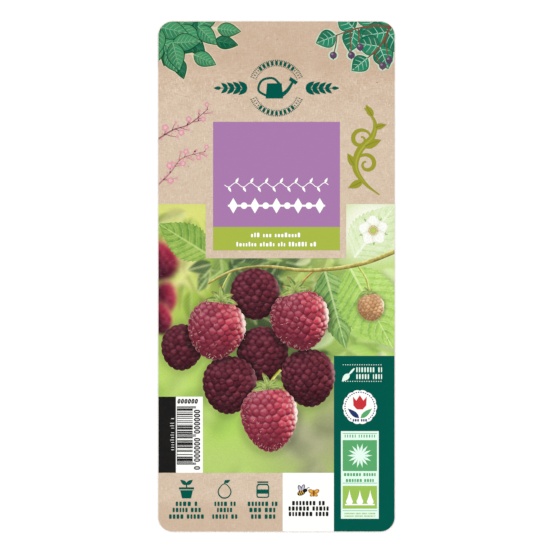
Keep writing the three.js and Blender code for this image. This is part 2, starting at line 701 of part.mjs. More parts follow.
// A flower pot with a seedling.
function addPotIcon() {
  const x = ICON_X.pot;
  const rim = rectangle(x - 3.2, ICON_Y - 0.8, x + 3.2, ICON_Y + 0.5);
  const bowl = polygon(placed([[-2.7, -0.7], [-1.9, -4.2], [1.9, -4.2], [2.7, -0.7]], x, ICON_Y));
  const stalk = rectangle(x - 0.25, ICON_Y, x + 0.25, ICON_Y + 2.4);
  const leaves = [leaf(x, ICON_Y + 1.6, 38, 3.4, 1.6), leaf(x, ICON_Y + 1.6, 142, 3.4, 1.6)];
  print("pot_icon", [rim, bowl, stalk, ...leaves], 0, INKS.deepGreen);
}

// A pear in outline: one oval line with a waist, a stalk and a leaf.
function addPearIcon() {
  const [x, y] = [ICON_X.pear, ICON_Y - 1];
  const neck = (turn) => 0.75 * Math.max(0, Math.sin(turn)) ** 6;
  const pear = (inset) => (turn) => (2.9 - inset) * (1 - 0.16 * Math.sin(turn)) + neck(turn);
  const shape = polarOutline(x, y, pear(0), 36);
  shape.holes.push(polarOutline(x, y, pear(0.5), 36));
  const stalk = band([[x, y + 3], [x + 0.1, y + 3.9], [x + 0.6, y + 4.6]], () => 0.45, 4);
  print("pear_icon", [shape, stalk, leaf(x + 0.1, y + 3.5, 24, 2.6, 1.2)], 0, INKS.deepGreen);
}

// A preserving jar in outline, with its lid.
function addJarIcon() {
  const [x, y] = [ICON_X.jar, ICON_Y];
  const outline = roundedRectangle(x - 2.7, y - 4, x + 2.7, y + 1.9, [1, 1, 1.2, 1.2]);
  outline.holes.push(roundedRectangle(x - 2.2, y - 3.5, x + 2.2, y + 1.4, [0.6, 0.6, 0.8, 0.8]));
  const lid = rectangle(x - 2.3, y + 1.8, x + 2.3, y + 3);
  const paperBand = rectangle(x - 2.4, y - 2.2, x + 2.4, y - 0.4);
  print("jar_icon", [outline, lid, paperBand], 0, INKS.deepGreen);
}

// A bee from the side, with two wings up.
function addBee() {
  const [x, y] = [ICON_X.bee, ICON_Y - 1.7];
  const body = ellipse(x, y, 1.9, 1.15, 28);
  const head = disc(x + 1.75, y + 0.95, 0.75, 14);
  const hindWing = ellipse(x - 0.7, y + 1.7, 1.5, 0.75, 112);
  const foreWing = ellipse(x + 0.6, y + 2, 1.5, 0.75, 70);
  const feeler = band([[x + 2, y + 1.2], [x + 2.7, y + 2], [x + 3.4, y + 2]], () => 0.25, 6);
  print("bee", [body, head, hindWing, foreWing, feeler], 1, INKS.black);
}

// A butterfly from above, with its four wings open.
function addButterfly() {
  const [x, y, size] = [ICON_X.butterfly, ICON_Y - 2, BUTTERFLY_SIZE];
  const oval = (dx, dy, halfWidth, halfHeight, turn) =>
    ellipse(x + dx * size, y + dy * size, halfWidth * size, halfHeight * size, turn);
  const parts = [oval(0, 0, 0.35, 1.9, 0)];
  for (const side of [-1, 1]) {
    parts.push(oval(side * 1.35, 0.9, 1.5, 1.05, side * 32));
    parts.push(oval(side * 1, -0.85, 1.05, 0.8, -side * 28));
  }
  print("butterfly", parts, 1, INKS.orange);
}

// ---------------------------------------------------------------- the picture of the fruit

// From the farthest back to the nearest: a motif is cut back round every one that lies in front of it.
const BACK_LEAVES = [
  { name: "leaf_middle", x: 20.5, y: 2.4, angle: -75, length: 34, width: 16, teeth: 17, tone: "shadyLeaf" },
  { name: "leaf_upper_right", x: 33, y: 8, angle: 52, length: 28, width: 19, teeth: 16, tone: "sunlitLeaf" },
  { name: "leaf_lower_right", x: 31, y: 4, angle: -62, length: 39, width: 25, teeth: 21, tone: "sunlitLeaf" },
  { name: "leaf_left", x: -28.5, y: 9, angle: 148, length: 25, width: 15, teeth: 15, tone: "shadyLeaf" },
];
const BERRIES = [
  { name: "berry_far_left", x: -40, y: -30, width: 18, length: 20, lean: -8, taper: 0.08, tone: "berryDark" },
  { name: "berry_far_top", x: -9, y: -7.5, width: 21, length: 22, lean: 4, taper: 0.08, tone: "berryDark" },
  { name: "berry_far_middle", x: -6, y: -33, width: 22, length: 24, lean: -4, taper: 0.1, tone: "berryDark" },
  { name: "berry_right", x: 13.5, y: -43, width: 23, length: 25, lean: 8, taper: 0.12, tone: "berryDark" },
  { name: "berry_left", x: -20, y: -46, width: 23, length: 25, lean: -6, taper: 0.12, tone: "berryDark" },
  { name: "berry_near_right", x: 10, y: -18.5, width: 25, length: 26, lean: 10, taper: 0.14, tone: "berry" },
  { name: "berry_near_left", x: -25.5, y: -22.5, width: 24.5, length: 26, lean: -10, taper: 0.14,
    tone: "berry" },
  { name: "berry_near_low", x: -3, y: -60.5, width: 24, length: 28, lean: 3, taper: 0.2, tone: "berry",
    stalk: [[1.8, -39.5], [-1.6, -43.4]] },
  { name: "berry_unripe", x: 40, y: -13, width: 11.5, length: 12, lean: 12, taper: 0.08,
    tone: "berryUnripe" },
];
const WITH_SEPALS = ["berry_near_right", "berry_near_left", "berry_near_low"];
const SEPALS = { length: 7.2, width: 2.3, spread: [-74, -38, -4, 34, 70] }; // of a berry 24 wide
const CANE = [[52, 11.5], [40, 6.6], [28, 3.8], [12, 2.6], [-4, 4.2], [-18, 2.6], [-29, -3]];
const STALKS = [
  [[34, 5.2], [38, -1], [39.4, -8]],
  [[16, 2.6], [11.8, -1.4], [8.4, -5.6]],
  [[-19, 2.2], [-22.4, -4], [-23.6, -11]],
];
const PICTURE_BLOSSOM = { x: 41, y: 19.5, radius: 6.4, petals: 5 };

function caneShapes(grow = 0) {
  const cane = band(CANE, (share) => 2 - 1.1 * share + 2 * grow, 40);
  const stalks = STALKS.map((points) => band(points, () => 0.8 + 2 * grow, 10));
  return [cane, ...stalks];
}

function addPicture() {
  const flower = (grow) => {
    const { x, y, radius, petals } = PICTURE_BLOSSOM;
    return [blossom(x, y, radius + grow, petals, 20, 0.3)];
  };
  const motif = (at, outline) => {
    return { name: at.name, shapes: (grow) => [outline(at, grow)], ink: INKS[at.tone] };
  };
  const motifs = [
    ...BACK_LEAVES.map((at) => motif(at, toothedLeaf)),
    { name: "fruiting_cane", shapes: caneShapes, ink: INKS.cane },
    ...BERRIES.map((at) => motif(at, berryOutline)),
    ...BERRIES.filter((at) => WITH_SEPALS.includes(at.name)).map((at) => {
      return { name: `${at.name}_sepals`, shapes: (grow) => sepalShapes(at, grow), ink: INKS.cane };
    }),
    { name: "picture_blossom", shapes: flower, ink: INKS.white },
  ];
  motifs.forEach(({ name, shapes, ink: inkOfMotif }, i) => {
    const inFront = motifs.slice(i + 1).flatMap((nearer) => nearer.shapes(CLEARANCE));
    print(name, shapes(0), 1, inkOfMotif, { within: pictureOutline, without: inFront });
  });
}

// ---------------------------------------------------------------- the label

addCard();
addFields();
addBarcode();
addLeftSpray();
addRightSpray();
addBlossomTwigs();
addEmblem();
addFlourish();
addPanelOrnaments();
addColumnHeading();
addBadge();
addCertificate();
addPotIcon();
addPearIcon();
addJarIcon();
addBee();
addButterfly();
addPicture();

export default label;
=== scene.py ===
"""A printed plant label: a flat kraft card with rounded corners that lies on its back, face up.

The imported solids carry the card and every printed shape. This script gives the board and the inks their
finish. It replaces the plates that take more than one ink with finer printed work, and adds the rows of
small marks where a label carries its words.

Sizes and places are millimetres in the row frame. A mesh turns them to metres when it is made.
"""
import json
import math
from collections import namedtuple

import bpy
import numpy as np
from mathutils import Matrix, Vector


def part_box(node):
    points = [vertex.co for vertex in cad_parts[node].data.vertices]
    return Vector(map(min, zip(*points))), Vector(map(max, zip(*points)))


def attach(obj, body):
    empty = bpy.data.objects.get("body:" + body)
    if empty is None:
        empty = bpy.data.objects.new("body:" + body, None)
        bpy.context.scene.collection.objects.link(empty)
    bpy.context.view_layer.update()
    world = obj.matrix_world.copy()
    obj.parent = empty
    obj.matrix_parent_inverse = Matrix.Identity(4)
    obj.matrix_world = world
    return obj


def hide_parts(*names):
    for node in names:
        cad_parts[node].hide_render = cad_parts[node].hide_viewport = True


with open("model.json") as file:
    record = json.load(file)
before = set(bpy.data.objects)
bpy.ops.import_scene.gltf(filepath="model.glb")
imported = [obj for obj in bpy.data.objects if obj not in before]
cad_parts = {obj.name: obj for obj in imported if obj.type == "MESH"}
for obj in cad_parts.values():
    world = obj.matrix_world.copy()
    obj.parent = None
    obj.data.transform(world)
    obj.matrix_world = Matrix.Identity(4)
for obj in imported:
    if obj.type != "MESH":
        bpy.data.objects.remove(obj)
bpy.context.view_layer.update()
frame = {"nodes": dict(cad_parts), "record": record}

MM = 0.001
CARD = {"width": 100, "height": 216, "corner": 6}
INK = 0.05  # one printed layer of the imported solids
LAYERS = [0.5, 0.55, 0.6]  # heights on which the printed layers lie, from the card's face up
MARK = 0.02  # how far a small mark stands over the field that it is printed on
INSET = 0.02  # how far inside the card's outline the finer printed work ends
SAME_POINT = 1e-3
LEAST_AREA = 0.02  # a plate smaller than this is left out


# ---------------------------------------------------------------- colours

def srgb(code):
    """The three channels of a hex colour, from 0 to 1 as the eye sees them."""
    return np.array([int(code[i:i + 2], 16) / 255 for i in (0, 2, 4)])


def linear(colour):
    """A hex colour, or rows of channels as the eye sees them, turned to linear light."""
    seen = srgb(colour) if isinstance(colour, str) else np.clip(colour, 0, 1)
    return np.where(seen <= 0.04045, seen / 12.92, ((seen + 0.055) / 1.055) ** 2.4)


def mixed(first, second, share):
    """Between two colours, hex codes or rows of channels, by a share for each point."""
    first, second = (srgb(colour) if isinstance(colour, str) else colour for colour in (first, second))
    share = np.clip(np.asarray(share, float), 0, 1)[..., None]
    return first * (1 - share) + second * share


def smooth(low, high, value):
    """From 0 at low to 1 at high, with soft ends."""
    share = np.clip((value - low) / (high - low), 0, 1)
    return share * share * (3 - 2 * share)


def grain(points, size, seed):
    """Smooth random values from 0 to 1 with cells of one size."""
    lattice = np.random.default_rng(seed).random((64, 64))
    cell = np.asarray(points) / size
    low = np.floor(cell).astype(int)
    part = cell - low
    part = part * part * (3 - 2 * part)
    x, y = low[..., 0] % 64, low[..., 1] % 64
    east, north = (x + 1) % 64, (y + 1) % 64
    lower = lattice[x, y] * (1 - part[..., 0]) + lattice[east, y] * part[..., 0]
    upper = lattice[x, north] * (1 - part[..., 0]) + lattice[east, north] * part[..., 0]
    return lower * (1 - part[..., 1]) + upper * part[..., 1]


# ---------------------------------------------------------------- lines and outlines

def turned(points, degrees):
    """Points turned about the origin."""
    cos, sin = math.cos(math.radians(degrees)), math.sin(math.radians(degrees))
    return np.asarray(points, float) @ np.array([[cos, sin], [-sin, cos]])


def oval(half_width, half_height, sides):
    """Points on an oval round the origin, counter-clockwise from its right."""
    turns = np.arange(sides) * 2 * math.pi / sides
    return np.stack([half_width * np.cos(turns), half_height * np.sin(turns)], 1)


def on_card(points):
    """Points drawn in to the card's outline, rounded corners and all."""
    half = np.array([CARD["width"], CARD["height"]]) / 2 - INSET
    points = np.clip(np.array(points, float), -half, half)
    middle = half - CARD["corner"]
    past = np.abs(points) - middle
    corner = (past > 0).all(1)
    reach = np.linalg.norm(past, axis=1)
    far = corner & (reach > CARD["corner"])
    pull = np.where(far, CARD["corner"] / np.maximum(reach, 1e-9), 1)[:, None]
    return np.where(corner[:, None], np.sign(points) * (middle + past * pull), points)


def spline(points, shares):
    """Places and headings at shares of the way along a smooth curve through points."""
    points = np.asarray(points, float)
    ends = np.vstack([points[0], points, points[-1]])
    fine = []
    for i in range(len(points) - 1):
        a, b, c, d = ends[i:i + 4]
        for t in np.linspace(0, 1, 40, endpoint=i == len(points) - 2):
            fine.append(0.5 * (2 * b + (c - a) * t + (2 * a - 5 * b + 4 * c - d) * t ** 2
                               + (3 * b - a - 3 * c + d) * t ** 3))
    fine = np.array(fine)
    way = np.concatenate([[0], np.cumsum(np.linalg.norm(np.diff(fine, axis=0), axis=1))])

    def place(at):
        return np.stack([np.interp(at, way, fine[:, k]) for k in (0, 1)], 1)

    at = np.asarray(shares) * way[-1]
    heading = place(at + 0.05) - place(at - 0.05)
    return place(at), heading / np.linalg.norm(heading, axis=1)[:, None]


def grid_faces(rows, columns, closed=False):
    """Faces of a grid whose rows go along and whose columns go to the left of that, or round a middle."""
    faces = []
    for row in range(rows - 1):
        for column in range(columns if closed else columns - 1):
            beside = (column + 1) % columns
            here, there = row * columns, (row + 1) * columns
            faces.append((here + column, there + column, there + beside, here + beside))
    return faces


def band_grid(points, width_at, steps, across=2):
    """A grid of points along a band, from its right edge to its left one, and each point's two shares."""
    shares = np.linspace(0, 1, steps + 1)
    places, heading = spline(points, shares)
    left = np.stack([-heading[:, 1], heading[:, 0]], 1)
    sides = np.linspace(-1, 1, across)
    half = np.array([width_at(share) / 2 for share in shares])
    grid = places[:, None] + left[:, None] * (sides[None, :] * half[:, None])[..., None]
    along, side = np.meshgrid(shares, sides, indexing="ij")
    return grid.reshape(-1, 2), grid_faces(steps + 1, across), along.ravel(), side.ravel()


def tapering(start, end):
    """A width that goes evenly from one at its start to another at its end."""
    return lambda share: start + (end - start) * share


def swelling(width):
    """A width that grows from almost nothing to the middle and shrinks again."""
    return lambda share: width * math.sin(math.pi * (0.04 + 0.92 * share))


# ---------------------------------------------------------------- thin closed plates

def put_on_label(name, mesh, nodes):
    """Makes a mesh, which already carries its finish, a piece of the label in place of the nodes that it
    replaces.
    """
    piece = bpy.data.objects.new(name, mesh)
    bpy.context.scene.collection.objects.link(piece)
    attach(piece, "root")
    if nodes:
        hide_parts(*nodes)


class Pile:
    """Heights for plates that overlap: each lies one step over whatever it covers."""

    def __init__(self, base, step):
        self.base = base
        self.step = step
        self.laid = []

    def over(self, points):
        """The height of a plate over everything that its box touches."""
        low, high = np.min(points, 0), np.max(points, 0)
        under = [
            level for other_low, other_high, level in self.laid
            if (low < other_high).all() and (high > other_low).all()
        ]
        level = max(under, default=0) + 1
        self.laid.append((low, high, level))
        return self.base + level * self.step

    def top(self):
        """The height of the highest plate."""
        return self.base + max(level for _, _, level in self.laid) * self.step


class Plates:
    """Thin closed plates on one floor, gathered into one mesh. Each point of a painted one has its ink."""

    def __init__(self, floor):
        self.floor = floor
        self.places = []
        self.faces = []
        self.inks = []

    def add(self, top, faces, height, inks=None):
        """Upper faces over the points of top, with a wall round each outline and one face underneath."""
        first = len(self.places)
        self.places += [(x, y, height) for x, y in top]
        self.faces += [tuple(first + i for i in face) for face in faces]
        if inks is not None:
            self.inks += list(inks)
        directed = dict.fromkeys((a, b) for face in faces for a, b in zip(face, face[1:] + face[:1]))
        onward = {a: b for a, b in directed if (b, a) not in directed}
        while onward:
            outline = [next(iter(onward))]
            while outline[-1] in onward:
                outline.append(onward.pop(outline[-1]))
            self.close(first, outline[:-1], inks)

    def close(self, first, outline, inks):
        """The wall under one outline, and the face at its foot."""
        below, count = len(self.places), len(outline)
        self.places += [(*self.places[first + point][:2], self.floor) for point in outline]
        if inks is not None:
            self.inks += [inks[point] for point in outline]
        for i in range(count):
            after = (i + 1) % count
            self.faces.append((first + outline[after], first + outline[i], below + i, below + after))
        self.faces.append(tuple(below + i for i in reversed(range(count))))

    def outline(self, points, height, inks=None):
        """One flat plate inside a counter-clockwise outline, kept on the card."""
        self.add(on_card(points), [tuple(range(len(points)))], height, inks)

    def trimmed(self, ring, height):
        """The plate of an outline that may pass the card's edge, where its points can fall together."""
        ring = on_card(ring)
        kept = [ring[0]]
        for point in ring[1:]:
            if np.linalg.norm(point - kept[-1]) > SAME_POINT:
                kept.append(point)
        if np.linalg.norm(kept[0] - kept[-1]) < SAME_POINT:
            kept.pop()
        if sum(a[0] * b[1] - a[1] * b[0] for a, b in zip(kept, kept[1:] + kept[:1])) / 2 > LEAST_AREA:
            self.outline(kept, height)

    def band(self, line, width_at, steps, height):
        """A strip along a line, kept on the card, at a height or on top of a pile."""
        grid, faces, _, _ = band_grid(line, width_at, steps)
        height = height.over(grid) if isinstance(height, Pile) else height
        self.add(on_card(grid), faces, height)
        return height

    def paint(self, points, faces, height, colours):
        """A painted plate of the picture, drawn in to the card's right and left edges."""
        height = height.over(points) if isinstance(height, Pile) else height
        edge = CARD["width"] / 2 - INSET
        self.add(np.clip(points, (-edge, -np.inf), (edge, np.inf)), faces, height, linear(colours))

    def finish(self, name, slot, *nodes, ink=None):
        """Makes the plates one piece, in its slot's ink or one of its own."""
        mesh = bpy.data.meshes.new(name)
        mesh.from_pydata((np.array(self.places) * MM).tolist(), [], self.faces)
        if self.inks:
            colours = np.ones((len(self.inks), 4), np.float32)
            colours[:, :3] = self.inks
            layer = mesh.color_attributes.new("ink", "FLOAT_COLOR", "POINT")
            layer.data.foreach_set("color", colours.ravel())
        mesh.materials.append(MATERIALS[ink or slot])
        put_on_label(name, mesh, nodes)


# ---------------------------------------------------------------- materials

def in_use(sockets, name=None):
    """The first socket that a node shows, or the first of a name."""
    return next(s for s in sockets if s.enabled and not s.is_unavailable and name in (None, s.name))


def add(tree, kind, inputs=None, **settings):
    """Adds a node with its settings, and sets its inputs or links them to other nodes."""
    node = tree.nodes.new(kind)
    for name, value in settings.items():
        setattr(node, name, value)
    for name, value in (inputs or {}).items():
        socket = node.inputs[name] if isinstance(name, int) else in_use(node.inputs, name)
        if isinstance(value, bpy.types.Node):
            tree.links.new(in_use(value.outputs), socket)
        elif isinstance(value, bpy.types.NodeSocket):
            tree.links.new(value, socket)
        elif isinstance(value, str) and socket.type == "RGBA":
            socket.default_value = (*linear(value), 1)
        else:
            socket.default_value = value
    return node


def per(millimetres):
    """A texture's scale from the real size of its pattern."""
    return 1 / (millimetres * MM)


def new_material(name):
    """An empty node tree, and the piece's own coordinates in it."""
    material = bpy.data.materials.new(name)
    material.use_nodes = True
    tree = material.node_tree
    tree.nodes.clear()
    coordinates = add(tree, "ShaderNodeTexCoord")
    return material, tree, coordinates.outputs["Object"]


def streaks(tree, place, long, wide, turn, detail):
    """Soft random streaks of a length and width in millimetres, turned by degrees."""
    cells = add(tree, "ShaderNodeMapping", {
        "Vector": place,
        "Rotation": (0, 0, math.radians(turn)),
        "Scale": (per(long), per(wide), per(long)),
    })
    return add(tree, "ShaderNodeTexNoise", {
        "Vector": cells, "Scale": 1.0, "Detail": detail, "Roughness": 0.6,
    })


def tinted(tree, colour, value, faint, full, strength, tint):
    """A colour with a tint over it, from none where a value is faint to its strength where it is full."""
    share = add(tree, "ShaderNodeMapRange", {
        "Value": value, "From Min": faint, "From Max": full, "To Min": 0.0, "To Max": strength,
    }, interpolation_type="SMOOTHSTEP")
    return add(tree, "ShaderNodeMix", {"Factor": share, "A": colour, "B": tint}, data_type="RGBA")


def streaked(tree, place, colour, layers):
    """A colour with streaks laid over it, and the last layer's noise. Each layer has its streaks' length,
    width, turn and fineness, the range of noise over which they appear, their strength and their tint."""
    for long, wide, turn, detail, *look in layers:
        noise = streaks(tree, place, long, wide, turn, detail)
        colour = tinted(tree, colour, noise, *look)
    return colour, noise


def specked(tree, place, colour, cell, radius, chosen, tint):
    """A colour with round specks of a radius in millimetres, one in some of the cells."""
    spots = add(tree, "ShaderNodeTexVoronoi", {
        "Vector": place, "Scale": per(cell), "Randomness": 1.0,
    }, voronoi_dimensions="2D")
    near = add(tree, "ShaderNodeMapRange", {
        "Value": spots.outputs["Distance"], "From Min": radius / cell, "From Max": 0.4 * radius / cell,
        "To Min": 0.0, "To Max": 1.0,
    }, interpolation_type="SMOOTHSTEP")
    pick = add(tree, "ShaderNodeSeparateColor", {"Color": spots.outputs["Color"]})
    some = add(tree, "ShaderNodeMath", {0: pick, 1: chosen}, operation="LESS_THAN")
    share = add(tree, "ShaderNodeMath", {0: near, 1: some}, operation="MULTIPLY")
    return add(tree, "ShaderNodeMix", {"Factor": share, "A": colour, "B": tint}, data_type="RGBA")


def matt_surface(tree, colour, roughness, specular, fibres, relief):
    """A matt surface whose sheen and relief follow the fibres in it or under it."""
    sheen = add(tree, "ShaderNodeMapRange", {
        "Value": fibres, "From Min": 0.3, "From Max": 0.7,
        "To Min": roughness - 0.05, "To Max": roughness + 0.06,
    })
    bump = add(tree, "ShaderNodeBump", {"Height": fibres, "Strength": 0.35, "Distance": relief * MM})
    surface = add(tree, "ShaderNodeBsdfPrincipled", {
        "Base Color": colour, "Roughness": sheen, "Specular IOR Level": specular, "IOR": 1.5, "Normal": bump,
    })
    add(tree, "ShaderNodeOutputMaterial", {"Surface": surface})


def kraft_board():
    """Uncoated kraft-faced board, pressed from unbleached fibre: warm sand with soft clouds, fine light and
    dark fibres that cross each other, and a few brown specks. It is palest over its middle and browner at
    its two short ends. Real fibres are 0.03 mm wide: they are drawn ten times as coarse, to show at all."""
    material, tree, place = new_material("kraft_board")
    colour, _ = streaked(tree, place, "d8c2ac", [
        (80, 50, 20, 1.0, 0.35, 0.65, 0.45, "cbb199"),
        (9, 6, 0, 3.0, 0.35, 0.68, 0.6, "c9af95"),
        (0.45, 2.2, -6, 3.0, 0.5, 0.72, 0.7, "ebdccb"),
        (0.7, 0.55, 30, 1.0, 0.52, 0.76, 0.5, "b2967b"),
        (2.0, 0.5, 5, 3.0, 0.48, 0.72, 0.6, "bba085"),
    ])
    colour = specked(tree, place, colour, 8, 0.28, 0.25, "ac9277")
    colour = specked(tree, place, colour, 19, 0.38, 0.3, "8a6e55")
    up = add(tree, "ShaderNodeSeparateXYZ", {"Vector": place}).outputs["Y"]
    for start, full, strength, tint in (
        (84, 62, 0.25, "dfd1be"), (80, 91, 0.5, "c3a78e"), (-93, -100, 0.45, "c3a78e"),
    ):
        colour = tinted(tree, colour, up, start * MM, full * MM, strength, tint)
    matt_surface(tree, colour, 0.88, 0.08, streaks(tree, place, 1.2, 0.6, 0, 3.0), 0.05)
    return material


def spot_ink(name, code, show=0.12, roughness=0.55, under="b08c66"):
    """One flat offset ink on the board. It is matt, dries a little uneven over the fibres, and lets some
    of the kraft show through in fine streaks."""
    material, tree, place = new_material(name)
    colour, fibres = streaked(tree, place, code, [
        (4, 2.2, 0, 3.0, 0.4, 0.65, show * 0.5, under),
        (0.5, 0.4, 0, 1.0, 0.66, 0.8, show, under),
        (1.3, 0.4, 3, 3.0, 0.5, 0.8, show, under),
    ])
    matt_surface(tree, colour, roughness, 0.02, fibres, 0.02)
    return material


def four_colour_print():
    """A picture in process inks under a thin varnish: smooth colour in which the screen's fine grain and
    the board's fibres barely show, a little glossier than the flat inks."""
    material, tree, place = new_material("four_colour_print")
    ink = add(tree, "ShaderNodeAttribute", attribute_type="GEOMETRY", attribute_name="ink")
    colour, fibres = streaked(tree, place, ink.outputs["Color"], [
        (0.42, 0.42, 45, 0.0, 0.3, 0.75, 0.07, "2a2a1c"),
        (1.6, 0.5, 0, 3.0, 0.55, 0.8, 0.06, "f3ead8"),
    ])
    matt_surface(tree, colour, 0.45, 0.08, fibres, 0.01)
    return material


INKS = {
    # hex colour, how much of the board shows through, roughness, and what shows if not the board
    "violet_ink": ("a778ac", 0.05, 0.5),
    "lime_ink": ("a7b845", 0.05, 0.5),
    "deep_green_ink": ("00564a", 0.1, 0.5, "0b6e5e"),
    "black_ink": ("1b1b1b", 0.015, 0.5),
    "white_ink": ("fdfdfa", 0.03, 0.6),
    "mint_ink": ("e4fbee", 0.04, 0.6),
    "halo_ink": ("d9d3b2", 0.3, 0.65),
    "dark_leaf_ink": ("0a5a3e", 0.04),
    "light_leaf_ink": ("3f9163", 0.1),
    "twig_ink": ("7d4434", 0.15, 0.6),
    "pink_ink": ("dd9dab", 0.25, 0.6),
    "olive_ink": ("98992b", 0.14, 0.6),
    "field_green_ink": ("58a96c", 0.05, 0.5),
    "field_lime_ink": ("9cc356", 0.05, 0.5),
    "red_ink": ("c8323a", 0.05, 0.5),
    "navy_ink": ("22366b", 0.05, 0.5),
    "orange_ink": ("c6832f", 0.06),
    # the second inks of the corner sprays
    "mint_halo_ink": ("c3dcc0", 0.12, 0.65),
    "bottle_green_ink": ("13664a", 0.06),
    "moss_vein_ink": ("2f8459",),
    "leaf_edge_ink": ("064029", 0.04),
    "fern_green_ink": ("2f8058",),
    "pale_vein_ink": ("79b98a",),
    "teal_leaf_ink": ("1a8462",),
    "deep_teal_leaf_ink": ("116f53",),
    "chalk_vein_ink": ("a6d8bd",),
    "teal_edge_ink": ("0a4f3e",),
    "plum_ink": ("55405c",),
    "plum_bloom_ink": ("8d7c93",),
    # those of the twigs, the vine, the insects and the berries
    "plum_bark_ink": ("99606f", 0.3),
    "rosy_bark_ink": ("b67f84", 0.3),
    "blush_ink": ("ebbdc0", 0.3),
    "young_olive_ink": ("adb043",),
    "old_olive_ink": ("7e8224",),
    "lilac_grey_ink": ("c3bfd6",),
    "amber_ink": ("e5b34a",),
    "umber_ink": ("6b3d1c",),
    "pale_down_ink": ("e8c8b8", 0.05),
}


def make_materials():
    """Every finish by its name. The slots that have none of their own belong to the picture."""
    materials = {name: spot_ink(name, *look) for name, look in INKS.items()}
    materials["kraft_board"] = kraft_board()
    picture = four_colour_print()
    for part in frame["record"]["subparts"]:
        materials.setdefault(part["material_slot"], picture)
    return materials


MATERIALS = make_materials()
OTHER_TINTS = {"right_spray_halo": "mint_halo_ink"}


def dress_nodes():
    """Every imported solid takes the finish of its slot, or its own tint of it."""
    for part in frame["record"]["subparts"]:
        node = frame["nodes"][part["node"]]
        node.data.materials.clear()
        node.data.materials.append(MATERIALS[OTHER_TINTS.get(part["node"], part["material_slot"])])


# ---------------------------------------------------------------- rows of small marks

def mark_tree():
    """Geometry nodes that press one thin tile with rounded corners at each point: the point's own width,
    height and turn give the tile's."""
    tree = bpy.data.node_groups.new("printed_marks", "GeometryNodeTree")
    face = tree.interface
    for name, kind in (
        ("Geometry", "Geometry"), ("Thickness", "Float"), ("Corner", "Float"), ("Ink", "Material"),
    ):
        face.new_socket(name, in_out="INPUT", socket_type="NodeSocket" + kind)
    face.new_socket("Geometry", in_out="OUTPUT", socket_type="NodeSocketGeometry")
    given = add(tree, "NodeGroupInput").outputs
    square = add(tree, "GeometryNodeCurvePrimitiveQuadrilateral", {"Width": 1.0, "Height": 1.0})
    rounded = add(tree, "GeometryNodeFilletCurve", {
        "Curve": square, "Radius": given["Corner"], "Count": 3,
    }, mode="POLY")
    sheet = add(tree, "GeometryNodeFillCurve", {"Curve": rounded}, mode="NGONS")
    under = add(tree, "GeometryNodeFlipFaces", {"Mesh": sheet})
    upward = add(tree, "ShaderNodeCombineXYZ", {"Z": given["Thickness"]})
    raised = add(tree, "GeometryNodeExtrudeMesh", {
        "Mesh": sheet, "Offset": upward, "Offset Scale": 1.0, "Individual": False,
    })
    both = add(tree, "GeometryNodeJoinGeometry", {"Geometry": raised})
    tree.links.new(under.outputs["Mesh"], both.inputs["Geometry"])
    closed = add(tree, "GeometryNodeMergeByDistance", {"Geometry": both, "Distance": 1e-6})
    size = add(tree, "GeometryNodeInputNamedAttribute", {"Name": "size"}, data_type="FLOAT_VECTOR")
    turn = add(tree, "GeometryNodeInputNamedAttribute", {"Name": "turn"}, data_type="FLOAT_VECTOR")
    pressed = add(tree, "GeometryNodeInstanceOnPoints", {
        "Points": given["Geometry"], "Instance": closed, "Rotation": turn, "Scale": size,
    })
    real = add(tree, "GeometryNodeRealizeInstances", {"Geometry": pressed})
    inked = add(tree, "GeometryNodeSetMaterial", {"Geometry": real, "Material": given["Ink"]})
    add(tree, "NodeGroupOutput", {"Geometry": inked})
    return tree


MARKS = mark_tree()


def press_marks(name, marks, floor, slot, *nodes, thickness=MARK, corner=0.22, ink=None):
    """One piece of small tiles from marks of x, y, width, height and turn."""
    points = bpy.data.meshes.new(name)
    points.from_pydata([(x * MM, y * MM, floor * MM) for x, y, *_ in marks], [], [])
    for attribute, rows in (
        ("size", [(width * MM, height * MM, 1) for _, _, width, height, _ in marks]),
        ("turn", [(0, 0, math.radians(turn)) for *_, turn in marks]),
    ):
        values = points.attributes.new(attribute, "FLOAT_VECTOR", "POINT")
        values.data.foreach_set("vector", np.array(rows, float).ravel())
    carrier = bpy.data.objects.new(name + "_points", points)
    bpy.context.scene.collection.objects.link(carrier)
    modifier = carrier.modifiers.new("marks", "NODES")
    modifier.node_group = MARKS
    values = {"Thickness": thickness * MM, "Corner": corner, "Ink": MATERIALS[ink or slot]}
    for item in MARKS.interface.items_tree:
        if item.in_out == "INPUT" and item.name in values:
            modifier[item.identifier] = values[item.name]
    bpy.context.view_layer.update()
    shown = carrier.evaluated_get(bpy.context.evaluated_depsgraph_get())
    mesh = bpy.data.meshes.new_from_object(shown)
    mesh.name = name
    bpy.data.objects.remove(carrier)
    put_on_label(name, mesh, nodes)


def word_row(start, end, middle, height, random, letter, space, capitals):
    """Marks for a row of words: one small block for each letter, with a wider gap after each word. The
    letters' width and the space between them are shares of the row's height."""
    blocks = []
    reach = 0
    left_in_word = random.integers(2, 8)
    while reach < (end - start) / height:
        width = letter * random.uniform(0.75, 1.25)
        gap = space if left_in_word else space + 0.53
        tall = 1.0 if capitals or random.random() < 0.3 else 0.72
        blocks.append((reach, width, tall))
        reach += width + gap
        left_in_word = left_in_word - 1 if left_in_word else random.integers(2, 8)
    fit = (end - start) / (blocks[-1][0] + blocks[-1][1])
    foot = middle - height / 2
    return [
        (start + (left + width / 2) * fit, foot + height * tall / 2, width * fit, height * tall, 0)
        for left, width, tall in blocks
    ]


def arc_marks(x, y, radius, start, end, pitch, width, height):
    """Marks side by side on an arc, each across it."""
    count = max(2, round(math.radians(end - start) * radius / pitch))
    marks = []
    for i in range(count + 1):
        angle = start + (end - start) * i / count
        out = turned((radius, 0), angle)
        marks.append((x + out[0], y + out[1], width, height, angle - 90))
    return marks


